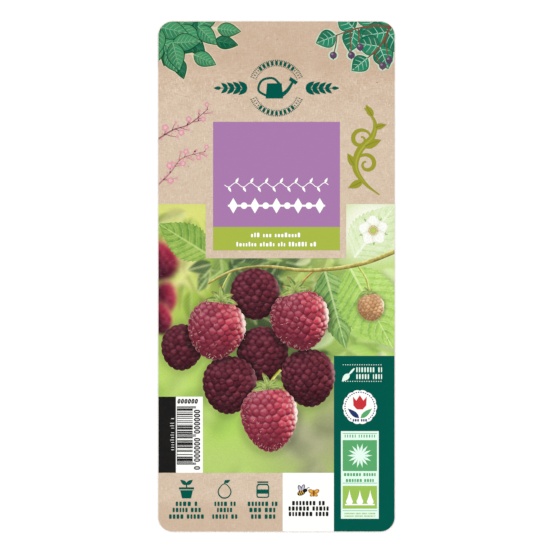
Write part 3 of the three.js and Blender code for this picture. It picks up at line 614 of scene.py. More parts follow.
WORDS = [
    # piece, its layer and ink, the rows' height, the letters' width and the space between them as shares
    # of that, whether all are capitals, their turn, and each row's start, end and middle before the turn
    ("tagline_words", 1, "white_ink", 1.9, 0.44, 0.27, False, 0, [(-10.8, 10, 17.6), (-17, 16.7, 13.7)]),
    ("icon_words", 0, "deep_green_ink", 1.9, 0.56, 0.27, True, 0, [
        (-42.7, -33.6, -96.3), (-44, -32.1, -98.9), (-45.5, -30.8, -101.7),
        (-26.3, -17.3, -96.3), (-25.2, -18.8, -98.9), (-27.2, -16.6, -101.7),
        (-12.2, 0.4, -96.3), (-11.5, -0.5, -98.9), (-10.8, -0.5, -101.7),
    ]),
    ("insect_words", 1, "black_ink", 1.85, 0.56, 0.27, True, 0, [
        (6.6, 20.4, -96), (5.1, 22.1, -98.3), (5.2, 22, -100.6),
    ]),
    ("column_words", 1, "mint_ink", 2.1, 0.28, 0.27, True, 0, [(33.8, 44.7, -39.5), (33.8, 44.7, -42.4)]),
    ("strip_words", 1, "white_ink", 1.7, 0.12, 0.5, False, 90, [(-73.5, -60.1, 44.2)]),
    ("badge_words", 2, "navy_ink", 1.05, 0.6, 0.27, True, 0, [(32.3, 38.3, -60.9)]),
    ("certificate_words", 2, "field_green_ink", 1.25, 0.4, 0.5, True, 0, [(28.9, 41.7, -67.6)]),
    ("certificate_words", 2, "field_green_ink", 1.3, 0.6, 0.27, True, 0, [
        (28.6, 42, -83.9), (29.4, 41.2, -86.4),
    ]),
    ("certificate_small_print", 2, "field_lime_ink", 0.62, 0.6, 0.27, True, 0, [
        (28.8, 41.8, -100.4), (28.8, 41.8, -101.5),
    ]),
]


def print_words():
    """Rows of blocks in place of words: each row's weight is that of small print of its kind."""
    random = np.random.default_rng(11)
    pieces = {}
    for name, layer, ink, height, letter, space, capitals, turn, rows in WORDS:
        marks = pieces.setdefault((name, LAYERS[layer], ink), [])
        for start, end, middle in rows:
            row = word_row(start, end, middle, height, random, letter, space, capitals)
            marks += [(*turned(place, turn), width, tall, turn) for *place, width, tall, _ in row]
    for (name, floor, ink), marks in pieces.items():
        press_marks(name, marks, floor, ink)


def noughts(plates, middles, width, height, stroke, slant=0, turn=0):
    """Plain noughts with straightened sides in place of a number, each of two half rings."""
    turns = np.linspace(-math.pi / 2, math.pi / 2, 9)
    for middle in middles:
        for side in (-1, 1):
            line = np.stack([side * width / 2 * np.abs(np.cos(turns)) ** 0.6, height / 2 * np.sin(turns)], 1)
            line[:, 0] += slant * line[:, 1]
            plates.band(turned(line, turn) + middle, tapering(stroke, stroke), 12, LAYERS[1] + MARK)


def print_barcode_noughts():
    """A bold slanted row over the bars, and one that reads upwards beside them, with its first nought
    outside the bars' guards and two groups of six between them."""
    plates = Plates(LAYERS[1])
    noughts(plates, [(x, -52.85) for x in np.linspace(-41.3, -33.95, 6)], 0.72, 1.6, 0.52, slant=0.2)
    upwards = [-81.1, *np.linspace(-77.75, -69.15, 6), *np.linspace(-65.8, -57.2, 6)]
    noughts(plates, [(-33.65, y) for y in upwards], 0.98, 2.12, 0.54, turn=90)
    plates.finish("barcode_noughts", "black_ink")


EMBLEM = {"x": 0, "y": 79.8, "outer": 11.6, "inner": 9.7, "arc": 66}


def print_emblem_rings():
    """Two arcs of letter-wide blocks, each between two rows of ticks that run on past its ends."""
    x, y, outer, inner, arc = EMBLEM.values()
    between = (outer + inner) / 2
    for name, middle in (("emblem_ring_upper", 90), ("emblem_ring_lower", 270)):
        start, end = middle - arc, middle + arc
        marks = arc_marks(x, y, between, middle - arc * 0.6, middle + arc * 0.6, 1.9, 1.15, 1.75)
        for radius, *tick in ((outer + 0.15, 0.78, 0.38, 0.64), (inner - 0.2, 0.74, 0.34, 0.52)):
            marks += arc_marks(x, y, radius, start, end, *tick)
        for side in (-1, 1):
            near, far = middle + side * arc * 0.7, middle + side * arc
            marks += arc_marks(x, y, between, min(near, far), max(near, far), 1.15, 0.32, 0.9)
        press_marks(name + "_marks", marks, LAYERS[0], "deep_green_ink", name, thickness=INK)


def print_column_rules():
    """Dotted rules over and under the column's heading."""
    pitch, width, height = 1.0, 0.42, 0.4
    for name in ("column_rule_upper", "column_rule_lower"):
        low, high = (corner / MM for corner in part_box(name))
        middle = (low.y + high.y) / 2
        dots = [(x, middle, width, height, 0) for x in np.arange(low.x + pitch / 4, high.x, pitch)]
        press_marks(name + "_dots", dots, LAYERS[1], "mint_ink", name, thickness=INK, corner=0.45)


def print_fine_rules():
    """Hairlines in the certificate, a ring of beads in the badge, and the bare gaps in two pictograms."""
    green = [(35.3, y, 14.6, width, 0) for y, width in ((-66.5, 0.22), (-87.5, 0.22), (-99.2, 0.2))]
    press_marks("certificate_hairlines", green, LAYERS[2], "field_green_ink", corner=0.02)
    beads = arc_marks(35.3, -55.3, 6.3, -52, 232, 1.0, 0.62, 0.5)
    press_marks("badge_ring", beads, LAYERS[2], "navy_ink", corner=0.4)
    kraft = [(-38.1, -90.35, 6.4, 0.3, 0), (-5.8, -87.6, 4.6, 0.3, 0)]
    press_marks("icon_gaps", kraft, LAYERS[1], "kraft_board", thickness=0.004, corner=0.05)


# ---------------------------------------------------------------- corner sprays

Spray = namedtuple("Spray", "start end bow pairs length width spread")
LEFT_SHADE = [
    Spray((-54, 101), (-26, 100), 1.5, 2, 14, 7.4, 44),
    Spray((-50, 108), (-42, 92.5), 1, 2, 13, 7.2, 42),
]
LEFT_SUNLIT = [
    Spray((-54, 104), (-25, 105), 1.5, 3, 14, 7.8, 40),
    Spray((-50, 106), (-47, 95), -1, 2, 14, 7.6, 44),
    Spray((-53, 109), (-35, 94), -2, 2, 14.5, 8.4, 40),
]
LEFT_CORNER = {"at": (-48, 104), "radius": 8}  # dark leaf behind the rest, out to the card's corner
RIGHT_SPRAY = [
    Spray((54, 105), (25, 102), -2.5, 3, 12.4, 10.2, 62),
    Spray((48, 106), (38.5, 92.5), 1.5, 2, 12, 9.8, 60),
]
RIGHT_FRUIT = [  # twig, share of the way along it, how far aside and how far below it hangs
    (0, 0.98, -1.5, 8.5), (0, 0.78, 0.5, 10.5), (0, 0.66, 0.8, 8), (1, 0.75, 3.2, 6), (1, 0.3, 1.6, 9.5),
]
FRUIT_RADIUS = 1.5
SPRAY_HEIGHTS = (LAYERS[1] - 0.005, 0.009)  # under a spray's lowest leaf, and the step to the next


def on_twig(spray, share):
    """The place and heading at a share of the way along a twig that bows sideways."""
    start = np.array(spray.start, float)
    way = spray.end - start
    reach = np.linalg.norm(way)
    aside = np.array([-way[1], way[0]]) / reach
    place = start + way * share + aside * spray.bow * math.sin(math.pi * share)
    turn = math.atan2(math.pi * spray.bow * math.cos(math.pi * share), reach)
    return place, math.degrees(math.atan2(way[1], way[0]) + turn)


def spray_leaves(spray):
    """Leaves in pairs along a twig, each pair smaller than the last, with one leaf at its tip."""
    leaves = []
    for i in range(spray.pairs + 1):
        share = 0.15 + 0.85 * i / spray.pairs
        size = 1 - 0.3 * share
        place, heading = on_twig(spray, share)
        for side in [0] if i == spray.pairs else [spray.spread, -spray.spread]:
            leaves.append((place, heading + side, spray.length * size, spray.width * size))
    return leaves


def leaf_half_width(width, share):
    """The half width of a leaf at a share of its length, widest nearer its stalk."""
    return width / 2 * np.sin(np.pi * np.asarray(share) ** 0.78)


def drawn_leaf(inks, pile, side_veins, place, turn, length, width):
    """One leaf in flat inks: a lighter and a darker half, a pale midrib, side veins and a dark outline."""
    left_half, right_half, veins, shadow = inks
    shares = np.linspace(0, 1, 15)
    edge = leaf_half_width(width, shares) + 0.12 * (1 - shares)

    def across_leaf(aside):
        return np.stack([length * shares, aside], 1)

    rib, left, right = (turned(across_leaf(aside), turn) + place for aside in (0 * shares, edge, -edge))
    height = pile.over(np.vstack([left, right]))
    if (np.abs(left[:, 0]) > CARD["width"] / 2 + 4).all():
        return
    rim = 0.32
    grown = np.vstack([across_leaf(edge + rim)[:-1], [(length + 0.3, 0)], across_leaf(-edge - rim)[-2::-1]])
    shadow.trimmed((turned(grown, turn) + place)[::-1], height - pile.step * 0.3)
    left_half.trimmed(np.vstack([rib, left[::-1]]), height)
    right_half.trimmed(np.vstack([right, rib[::-1]]), height)
    lines = [([(0, 0), (length * 0.5, 0), (length * 0.93, 0)], tapering(0.42, 0.16))]
    for i in range(side_veins):
        share = 0.14 + 0.66 * i / (side_veins - 1)
        ahead = min(share + 0.17, 0.97)
        reach = float(leaf_half_width(width, ahead)) * 0.84
        for side in (-1, 1):
            bend = (length * (share + ahead) / 2, side * reach * 0.58)
            line = [(length * share, 0), bend, (length * ahead, side * reach)]
            lines.append((line, tapering(0.26, 0.12)))
    for line, width_at in lines:
        veins.band(turned(line, turn) + place, width_at, 6, height + pile.step * 0.5)


def print_left_spray():
    """Dark leaves in the shade, and lighter ones in the sun over them."""
    pile = Pile(*SPRAY_HEIGHTS)
    dark, darker, dull, outlines, light, mid, pale = (Plates(LAYERS[0]) for _ in range(7))
    corner = oval(LEFT_CORNER["radius"], LEFT_CORNER["radius"], 39) + LEFT_CORNER["at"]
    darker.trimmed(corner, pile.over(corner))
    for sprays, inks, side_veins in (
        (LEFT_SHADE, (dark, darker, dull, outlines), 4), (LEFT_SUNLIT, (light, mid, pale, outlines), 6),
    ):
        for spray in sprays:
            for leaf in spray_leaves(spray):
                drawn_leaf(inks, pile, side_veins, *leaf)
    dark.finish("left_spray_shade_light_halves", "dark_leaf_ink", ink="bottle_green_ink")
    darker.finish("left_spray_shade_dark_halves", "dark_leaf_ink", "left_spray_shade")
    dull.finish("left_spray_shade_veins", "dark_leaf_ink", ink="moss_vein_ink")
    outlines.finish("left_spray_outlines", "dark_leaf_ink", ink="leaf_edge_ink")
    light.finish("left_spray_light_halves", "light_leaf_ink", "left_spray_leaves")
    mid.finish("left_spray_dark_halves", "light_leaf_ink", ink="fern_green_ink")
    pale.finish("left_spray_veins", "light_leaf_ink", ink="pale_vein_ink")


def print_right_spray():
    """Leaves with pale veins, and fruit with a bloom that hangs from red-brown twigs."""
    pile = Pile(*SPRAY_HEIGHTS)
    light, mid, pale, outlines, twigs, fruit, shine = (Plates(LAYERS[0]) for _ in range(7))
    for spray in RIGHT_SPRAY:
        for leaf in spray_leaves(spray):
            drawn_leaf((light, mid, pale, outlines), pile, 4, *leaf)
    for spray in RIGHT_SPRAY:
        line = [on_twig(spray, share)[0] for share in (0, 0.25, 0.5, 0.75, 1)]
        twigs.band(line, tapering(0.9, 0.45), 24, pile)
    for twig, share, aside, below in RIGHT_FRUIT:
        start = on_twig(RIGHT_SPRAY[twig], share)[0]
        end = start + (aside, -below)
        height = twigs.band([start, start + (aside * 0.3, -below * 0.5), end], tapering(0.5, 0.4), 8, pile)
        for plates, radius, offset, lift in (
            (fruit, FRUIT_RADIUS, (0, 0), 1), (shine, 0.5, (-0.45, 0.5), 1.5), (fruit, 0.28, (0, -1.55), 1.2),
        ):
            plates.trimmed(oval(radius, radius, 20) + end + offset, height + lift * pile.step * 0.6)
    light.finish("right_spray_light_halves", "dark_leaf_ink", ink="teal_leaf_ink")
    mid.finish("right_spray_dark_halves", "dark_leaf_ink", "right_spray_leaves", ink="deep_teal_leaf_ink")
    pale.finish("right_spray_veins", "dark_leaf_ink", ink="chalk_vein_ink")
    outlines.finish("right_spray_outlines", "dark_leaf_ink", ink="teal_edge_ink")
    twigs.finish("right_spray_twigs", "twig_ink", "right_spray_fruit")
    fruit.finish("right_spray_fruit_skins", "twig_ink", ink="plum_ink")
    shine.finish("right_spray_fruit_bloom", "twig_ink", ink="plum_bloom_ink")


# ---------------------------------------------------------------- blossom twigs and the vine

BLOSSOM_TWIGS = [
    # node, its line, how many flowers, the side of the first one, and its bark
    ("blossom_twig_upper", [(-52, 57), (-44, 62), (-37, 64.5), (-29, 71)], 5, 1, "plum_bark_ink"),
    ("blossom_twig_lower", [(-52, 37), (-45, 44), (-40, 50), (-30, 53)], 6, -1, "rosy_bark_ink"),
]
WOOD, BUD, PETAL, HEART = (LAYERS[0] + rise for rise in (0.02, 0.03, 0.035, 0.042))


def petal_ring(middle, radius, petals, start, depth=0.34, steps=4):
    """The outline of a flower seen from the front."""
    turns = np.arange(petals * 2 * steps) * math.pi / (petals * steps)
    lobe = np.abs(np.cos((turns - math.radians(start)) * petals / 2)) ** 0.6
    reach = radius * (1 - depth + depth * lobe)
    return middle + reach[:, None] * np.stack([np.cos(turns), np.sin(turns)], 1)


def side_shoots(wood, line, random):
    """Short shoots on one side of a twig and the other in turn. Returns the buds on them, and on the twig."""
    buds = []
    for i, share in enumerate((0.22, 0.34, 0.47, 0.58, 0.7, 0.8, 0.9)):
        place, heading = spline(line, [share])
        side = 1 if i % 2 else -1
        shoot = turned(heading[0], side * random.uniform(35, 55))
        length = random.uniform(3.2, 5.4) * (1.15 - 0.5 * share)
        bend = turned(shoot, -side * 14)
        halfway = place[0] + shoot * length * 0.5
        tip = place[0] + (shoot + bend) * length * 0.5
        wood.band([place[0], halfway, tip], tapering(0.36, 0.2), 5, WOOD)
        buds += [(tip, 0.62), (halfway + bend[::-1] * 0.5, 0.42)]
    for share in np.arange(0.12, 1.0, 0.065):
        place, heading = spline(line, [share])
        aside = turned(heading[0], 90) * random.choice([-1, 1]) * random.uniform(0.5, 1.0)
        buds.append((place[0] + aside, random.uniform(0.34, 0.6)))
    return buds


def twig_flowers(line, count, first):
    """Foot, middle, radius and turn of each flower, on one side of the twig and the other in turn."""
    flowers = []
    for i in range(count):
        share = 0.2 + 0.78 * i / (count - 1)
        side = (-1 if i % 2 else 1) * first
        place, heading = spline(line, [share])
        along, up = heading[0]
        reach = 2.6 - 0.9 * share
        middle = place[0] + np.array([along * 0.8 - up * side, up * 0.8 + along * side]) * reach
        flowers.append((place[0], middle, 1.7 - 0.6 * share, 40 * i))
    return flowers


def print_blossom_twigs():
    """Thin branches in blossom: five-petalled flowers, closed buds and side shoots, in three thin inks."""
    random = np.random.default_rng(5)
    for name, line, count, first, bark in BLOSSOM_TWIGS:
        wood, petals, hearts = (Plates(LAYERS[0]) for _ in range(3))
        wood.band(line, tapering(0.75, 0.3), 40, WOOD)
        for middle, radius in side_shoots(wood, line, random):
            petals.outline(petal_ring(middle, radius, 3, random.uniform(0, 120), 0.2, 2), BUD)
        for foot, middle, radius, start in twig_flowers(line, count, first):
            wood.band([foot, (foot + middle) / 2 + (0.15, 0), middle], tapering(0.42, 0.3), 5, WOOD)
            petals.outline(petal_ring(middle, radius, 5, start), PETAL)
            hearts.outline(petal_ring(middle, radius * 0.5, 5, start, 0.7), HEART)
        wood.finish(name + "_wood", "pink_ink", ink=bark)
        petals.finish(name + "_petals", "pink_ink", name)
        hearts.finish(name + "_hearts", "pink_ink", ink="blush_ink")


VINE_STEM = [(43.6, 34.6), (37.4, 39.5), (33.4, 46), (35.2, 53.4), (40.6, 59.2), (41.6, 65.6), (37.2, 71.4)]
VINE_LEAVES = [  # foot, heading and length
    ((36.6, 40.4), 205, 7), ((33.4, 46.4), 120, 6.8), ((36.6, 55), 20, 8.4), ((41.4, 63), 15, 5.4),
    ((40.8, 67.6), 120, 6),
]


def print_vine_strokes():
    """The broad pen's lighter strokes down the vine's stem, and a darker midrib in each of its leaves."""
    strokes, ribs = Plates(LAYERS[1]), Plates(LAYERS[1])
    stem = spline(VINE_STEM, np.linspace(0.06, 0.9, 9))[0]
    for aside, wide, start, end in ((0.34, 0.5, 1, 7), (-0.1, 0.26, 3, 8)):
        line = stem[start:end + 1] + (aside, -aside * 0.4)
        strokes.band(line, swelling(wide), 30, LAYERS[1] + 0.008)
    for foot, turn, length in VINE_LEAVES:
        line = turned([(length * 0.12, 0), (length * 0.5, 0.1), (length * 0.86, 0)], turn) + foot
        ribs.band(line, tapering(0.42, 0.16), 8, LAYERS[1] + 0.01)
    strokes.finish("vine_light_strokes", "olive_ink", ink="young_olive_ink")
    ribs.finish("vine_leaf_ribs", "olive_ink", ink="old_olive_ink")


# ---------------------------------------------------------------- the insects

BEE = np.array([10.6, -91.5])
BUTTERFLY = np.array([15.8, -91.8])
BUTTERFLY_SIZE = 0.85


def print_insects():
    """Wings, stripes and spots over the bee's and the butterfly's silhouettes."""
    pale, ochre, brown = (Plates(LAYERS[2]) for _ in range(3))
    wing, patch, spot = (LAYERS[2] + rise for rise in (0.01, 0.015, 0.02))
    for place, turn in (((-0.7, 1.7), 112), ((0.6, 2), 70)):
        pale.outline(turned(oval(1.15, 0.48, 18), turn) + BEE + place, wing)
    for along in (-1.05, -0.25, 0.55):
        stripe = turned([(-0.17, -0.8), (0.17, -0.8), (0.17, 0.8), (-0.17, 0.8)], 28)
        ochre.outline(stripe + BEE + (along * 0.88, along * 0.47), patch)
    for side in (-1, 1):
        for place, half_size, turn in (((1.5, 1.05), (0.85, 0.5), 32), ((1.05, -0.85), (0.55, 0.4), -28)):
            ring = turned(oval(*half_size, 14), side * turn) + (side * place[0], place[1])
            ochre.outline(BUTTERFLY + ring * BUTTERFLY_SIZE, patch)
        for x, y, radius in ((2.45, 1.5, 0.26), (2.05, 0.55, 0.22), (1.6, -1.25, 0.2)):
            place = BUTTERFLY + np.array([side * x, y]) * BUTTERFLY_SIZE
            brown.outline(oval(radius, radius, 8) + place, spot)
    brown.outline(BUTTERFLY + oval(0.33, 1.75, 16) * BUTTERFLY_SIZE, spot)
    pale.finish("bee_wings", "black_ink", ink="lilac_grey_ink")
    ochre.finish("insect_patches", "orange_ink", ink="amber_ink")
    brown.finish("butterfly_spots", "orange_ink", ink="umber_ink")


# ---------------------------------------------------------------- the picture: its soft ground

FIELD = {  # the picture's edges and those of the fields that take their place from it
    "x": (-50, -31.2, -30, 24.3, 29.5, 50),
    "y": (-83.15, -50.9, -33.6, 7.7, 30.7),
}
GROUND_CELL = 0.5  # the side of a cell of the ground's grid
GLOWS = [
    # x, y, half width, half height, turn, edge (1 fades evenly, more is crisper), strength, colour
    (-12, -66, 46, 34, 0, 1, 0.9, "b7dc64"),
    (-44, -42, 18, 20, 0, 1, 0.8, "bedb6c"),
    (-38, 26, 26, 12, 0, 1, 0.95, "dfe07c"),
    (-34, -8, 18, 12, 30, 1, 0.8, "b5cd4f"),
    (-6, 4, 26, 7, 2, 1.3, 0.9, "54703c"),
    (-2, -18, 24, 20, 0, 1.3, 0.95, "3f5331"),
    (22, -8, 12, 20, 10, 1.2, 0.85, "a6bd62"),
    (41, 20, 19, 17, 0, 1.6, 1.0, "f8f9f0"),
    (44, -14, 16, 22, 0, 1.2, 0.75, "b5da66"),
    (16, -72, 22, 13, 15, 1, 0.9, "a8aa80"),
    (24, -60, 9, 16, 0, 1, 0.7, "a6a87e"),
    (-26, -78, 24, 9, 0, 1, 0.6, "bcd07c"),
    (-40, -64, 8, 9, 0, 1, 0.45, "d2dfa5"),
]
FOLIAGE = [
    # left, right, bottom, top, how many leaves, length, blur, their colours
    (-50, -28, -6, 30, 34, 13, 1.3, ("a9c648", "c9d966", "86a83e", "e4e391", "9bbd45")),
    (-30, 10, -2, 10, 30, 11, 0.7, ("3f5c33", "57793f", "76994a", "93b552", "2f4a2b")),
    (9, 31, -12, 10, 24, 12, 0.9, ("b6cc64", "cfdf8c", "9dbb50", "e2e8b4", "8aa94a")),
    (-20, 20, -42, -6, 40, 10, 0.7, ("35452a", "4a6133", "61783c", "2b3822", "6f8a45")),
    (22, 50, -33, 4, 26, 15, 1.2, ("c2e07c", "dcefb4", "aed666", "9ccb58")),
    (-2, 24, -83, -56, 9, 20, 4.0, ("a3a67c", "b3b58c", "989d72")),
    (-50, -14, -83, -34, 8, 22, 4.5, ("aed85a", "c3e279", "a3cf55")),
]
GHOST_FRUIT = [
    # x, y, width, length, lean, blur: berries far out of focus at the picture's left edge
    (-49.5, 6.5, 15, 17, 24, 2.1),
    (-47.5, -9.5, 10, 14, -10, 1.6),
    (-49, -18, 9, 13, 8, 1.3),
]


def bare(x, y):
    """Whether the name panel, the bar code or the green column takes a place from the picture."""
    across, up = FIELD["x"], FIELD["y"]
    panel = (x > across[2]) & (x < across[4]) & (y > up[3])
    code = (x < across[1]) & (y < up[1])
    column = (x > across[3]) & (y < up[2])
    return panel | code | column


def renumbered(faces):
    """The points that some faces use, and the faces over those points alone."""
    used = sorted({i for face in faces for i in face})
    number = {old: new for new, old in enumerate(used)}
    return used, [tuple(number[i] for i in face) for face in faces]


def grow_foliage(colour, points):
    """Unfocused leaves at random, each with a lighter half, a pale midrib and faint pleats."""
    random = np.random.default_rng(17)
    for left, right, bottom, top, count, length, blur, tones in FOLIAGE:
        for _ in range(count):
            place = random.uniform(left, right), random.uniform(bottom, top)
            long = length * random.uniform(0.6, 1.25)
            tone = srgb(tones[random.integers(len(tones))])
            local = turned(points - place, -random.uniform(-180, 0))
            along, aside = local[:, 0], np.abs(local[:, 1])
            inside = leaf_half_width(long * 0.52, np.clip(along / long, 0, 1)) - aside
            shown = smooth(-blur, blur, inside) * smooth(-blur, blur, np.minimum(along, long - along))
            lit = mixed(tone * 0.82, tone, smooth(-1, 1, local[:, 1] / blur))
            pleats = 0.5 + 0.5 * np.sin((along - aside * 1.1) * 2 * math.pi / (long * 0.13))
            lit = mixed(lit, "eaf2bd", 0.14 * pleats / blur)
            rib = np.exp(-(aside / (0.25 + 0.4 * blur)) ** 2)
            lit = mixed(lit, "e4efb0", 0.4 * rib / blur)
            colour = mixed(colour, lit, 0.8 * shown)
    return colour


def grow_ghost_fruit(colour, points):
    """Berries so far out of focus that only their shade, their lit side and a warm fringe are left."""
    for x, y, width, length, lean, blur in GHOST_FRUIT:
        local = turned(points - (x, y), -lean) / (width / 2, length / 2)
        beyond = (np.linalg.norm(local, axis=1) - 1) * (width + length) / 4
        lit = local[:, 0] * 0.7 + local[:, 1] * 0.5
        tone = mixed("4a1428", "a8304a", smooth(-0.5, 0.75, lit))
        tone = mixed(tone, "e2906f", smooth(0.55, 1.15, lit))
        tone = np.clip(tone + 0.12 * (grain(points, 1.5, 40)[:, None] - 0.5), 0, 1)
        fringe = (1 - smooth(-blur, 2.2 * blur, beyond)) * smooth(-0.2, 0.8, lit)
        colour = mixed(colour, "e0a878", 0.5 * fringe)
        colour = mixed(colour, tone, 1 - smooth(-blur, blur, beyond))
    return colour


def ground_colour(points):
    """The unfocused garden behind the fruit."""
    colour = mixed("9fc45c", "b3cb6b", smooth(-70, 30, points[:, 1]))
    for x, y, half_width, half_height, turn, edge, strength, code in GLOWS:
        local = turned(points - (x, y), -turn) / (half_width, half_height)
        colour = mixed(colour, code, strength * np.exp(-np.sum(local ** 2, 1) ** edge))
    return grow_ghost_fruit(grow_foliage(colour, points), points)


def print_ground():
    """The field's rectangle with its notches, on a grid that its edges lie on."""
    lines = []
    for edges in FIELD.values():
        cuts = [
            np.linspace(start, end, max(2, round((end - start) / GROUND_CELL)), endpoint=False)
            for start, end in zip(edges, edges[1:])
        ]
        lines.append(np.concatenate([*cuts, edges[-1:]]))
    points = np.stack(np.meshgrid(*lines, indexing="ij"), -1).reshape(-1, 2)
    faces = grid_faces(*(len(line) for line in lines))
    used, faces = renumbered([face for face in faces if not bare(*points[list(face)].mean(0))])
    points = points[used]
    colours = ground_colour(points)
    colours = mixed(colours, colours * 0.5, 0.26 * fruit_shadow(points, BERRIES[:-1], 2.2))
    plates = Plates(LAYERS[0])
    plates.add(points, faces, LAYERS[1], linear(colours))
    plates.finish("picture_ground", "picture_ink", "picture_field")


# ---------------------------------------------------------------- the picture: leaves and cane

Leaf = namedtuple("Leaf", "name at turn length width teeth pleat dark body light vein")
BACK_LEAVES = [
    Leaf("leaf_middle", (20.5, 2.4), -75, 34, 16, 17, 1.1, "4f7a3f", "79a552", "aeca7e", "cbdfa2"),
    Leaf("leaf_upper_right", (33, 8), 52, 28, 19, 16, 0.6, "bdd793", "dbeabc", "eff5e0", "f6faea"),
    Leaf("leaf_lower_right", (31, 4), -62, 39, 25, 21, 0.8, "7fae4b", "a8d05f", "c9e68c", "dff0b0"),
    Leaf("leaf_left", (-28.5, 9), 148, 25, 15, 15, 0.9, "5c8a35", "86ad48", "b1c864", "c5d685"),
]
CANES = [
    # line, width at its start and its end, steps, and its tones from shade to light
    ([(34, 5.2), (38, -1), (39.4, -8)], 0.8, 0.8, 60, ("8a8f3a", "c2c85f", "eef0a8")),
    ([(16, 2.6), (11.8, -1.4), (8.4, -5.6)], 0.8, 0.8, 60, ("8c5a3c", "b98a55", "e6cf94")),
    ([(-19, 2.2), (-22.4, -4), (-23.6, -11)], 0.8, 0.8, 60, ("8a8f3a", "b5bd58", "e2e796")),
    ([(52, 11.5), (40, 6.6), (28, 3.8), (12, 2.6), (-4, 4.2), (-18, 2.6), (-29, -3)], 2, 0.9, 300,
     ("7c6b36", "b3a552", "e9e39a")),
]


def toothed_edge(at, share):
    """The half width of a toothed leaf at a share of its length."""
    knots, edge = [], []
    for i in range(at.teeth):
        for knot, reach in ((i / at.teeth, 0.93), ((i + 0.8) / at.teeth, 1.06)):
            knots.append(knot)
            edge.append(leaf_half_width(at.width, knot) * reach + 0.3)
    return np.interp(share, [*knots, 1], [*edge, 0.03])


def leaf_colour(at, share, side, points):
    """A pleated leaf: a pale midrib, side veins that sweep forward, and the light on the pleats between."""
    veins = at.teeth * 0.5
    phase = (share - 0.2 * np.abs(side) ** 1.2) * veins
    part = phase - np.floor(phase)
    from_vein = np.minimum(part, 1 - part) * at.length / veins
    from_rib = np.abs(side) * toothed_edge(at, share)
    light = 0.52 - 0.3 * at.pleat * np.cos(2 * math.pi * part - 0.9) + 0.22 * np.sign(side) * (1 - share)
    light += 0.4 * (grain(points, 3.1, 3) - 0.5) + 0.3 * (grain(points, 0.9, 4) - 0.5)
    colour = mixed(at.dark, at.body, smooth(-0.15, 0.6, light))
    colour = mixed(colour, at.light, smooth(0.5, 1.1, light) * 0.8)
    small = np.abs(np.sin(2 * math.pi * (side * 4.5 + part * 0.8))) ** 6
    colour = mixed(colour, at.vein, 0.2 * small * smooth(0.1, 0.3, np.abs(side)))
    fine = 0.22 * (1 - 0.55 * np.abs(side))
    colour = mixed(colour, at.vein, 0.6 * (1 - smooth(fine * 0.3, fine * 1.9, from_vein)))
    rib = 0.12 + 0.34 * (1 - share)
    colour = mixed(colour, at.vein, 0.85 * (1 - smooth(rib * 0.5, rib * 1.6, from_rib)))
    return mixed(colour, at.dark, 0.35 * smooth(0.9, 1.0, np.abs(side)))


def print_leaves(pile):
    """The toothed leaves behind the fruit, where the picture shows them, in the shadow of the berries."""
    for at in BACK_LEAVES:
        rows, columns = at.teeth * 12 + 1, 61
        share, side = np.meshgrid(np.linspace(0, 1, rows), np.linspace(-1, 1, columns), indexing="ij")
        share, side = share.ravel(), side.ravel()
        points = turned(np.stack([at.length * share, side * toothed_edge(at, share)], 1), at.turn) + at.at
        colours = leaf_colour(at, share, side, points)
        colours = mixed(colours, colours * 0.42, 0.6 * fruit_shadow(points, BERRIES[:-1], 1.6))
        colours = mixed(colours, colours * 0.6, 0.5 * fruit_shadow(points, BERRIES[-1:], 1.0))
        x, y = points.T
        past = bare(x, y) | (np.abs(x) > CARD["width"] / 2 + 0.6) | (y > FIELD["y"][-1])
        used, faces = renumbered([face for face in grid_faces(rows, columns) if not past[list(face)].any()])
        plates = Plates(LAYERS[1])
        plates.paint(points[used], faces, pile, colours[used])
        plates.finish(at.name + "_print", "shady_leaf_ink", at.name, ink="picture_ink")


def cane_colour(side, points, tones):
    """A round stalk lit from above right, with a darker underside and faint ribs."""
    dark, body, light = tones
    lit = 0.5 + 0.5 * side + 0.35 * (grain(points, 1.4, 8) - 0.5) + 0.25 * (grain(points, 0.5, 9) - 0.5)
    colour = mixed(dark, body, smooth(0.05, 0.5, lit))
    return mixed(colour, light, smooth(0.55, 0.95, lit))


def print_cane(pile):
    """The cane that crosses the picture, over three stalks that hang from it."""
    plates = Plates(LAYERS[1])
    height = pile.over(np.vstack([line for line, *_ in CANES]))
    for i, (line, start, end, steps, tones) in enumerate(CANES):
        grid, faces, _, side = band_grid(line, tapering(start, end), steps, 9)
        colours = cane_colour(-side if line[0][0] > line[-1][0] else side, grid, tones)
        colours = mixed(colours, colours * 0.5, 0.6 * fruit_shadow(grid, BERRIES, 1.2))
        plates.paint(grid, faces, height + i * 0.001, colours)
    plates.finish("fruiting_cane_print", "cane_ink", "fruiting_cane")


# ---------------------------------------------------------------- the picture: the berries

Tones = namedtuple("Tones", "seam shade bloom body lit glint rim")
RIPE = Tones("651b2d", "96384b", "c27d88", "c43a4e", "e98c8e", "ffcfc2", "fff0e4")
SUNLIT = Tones("6e1d30", "a03c4e", "c78590", "ce3e53", "f09498", "ffd4c8", "fff0e6")
SHADED = Tones("300e18", "602130", "8c4958", "742634", "954852", "b98288", "c79a9c")
UNRIPE = Tones("94693f", "c8966a", "e8c39c", "e0ac80", "f0cfa4", "fff0d2", "fffbe6")

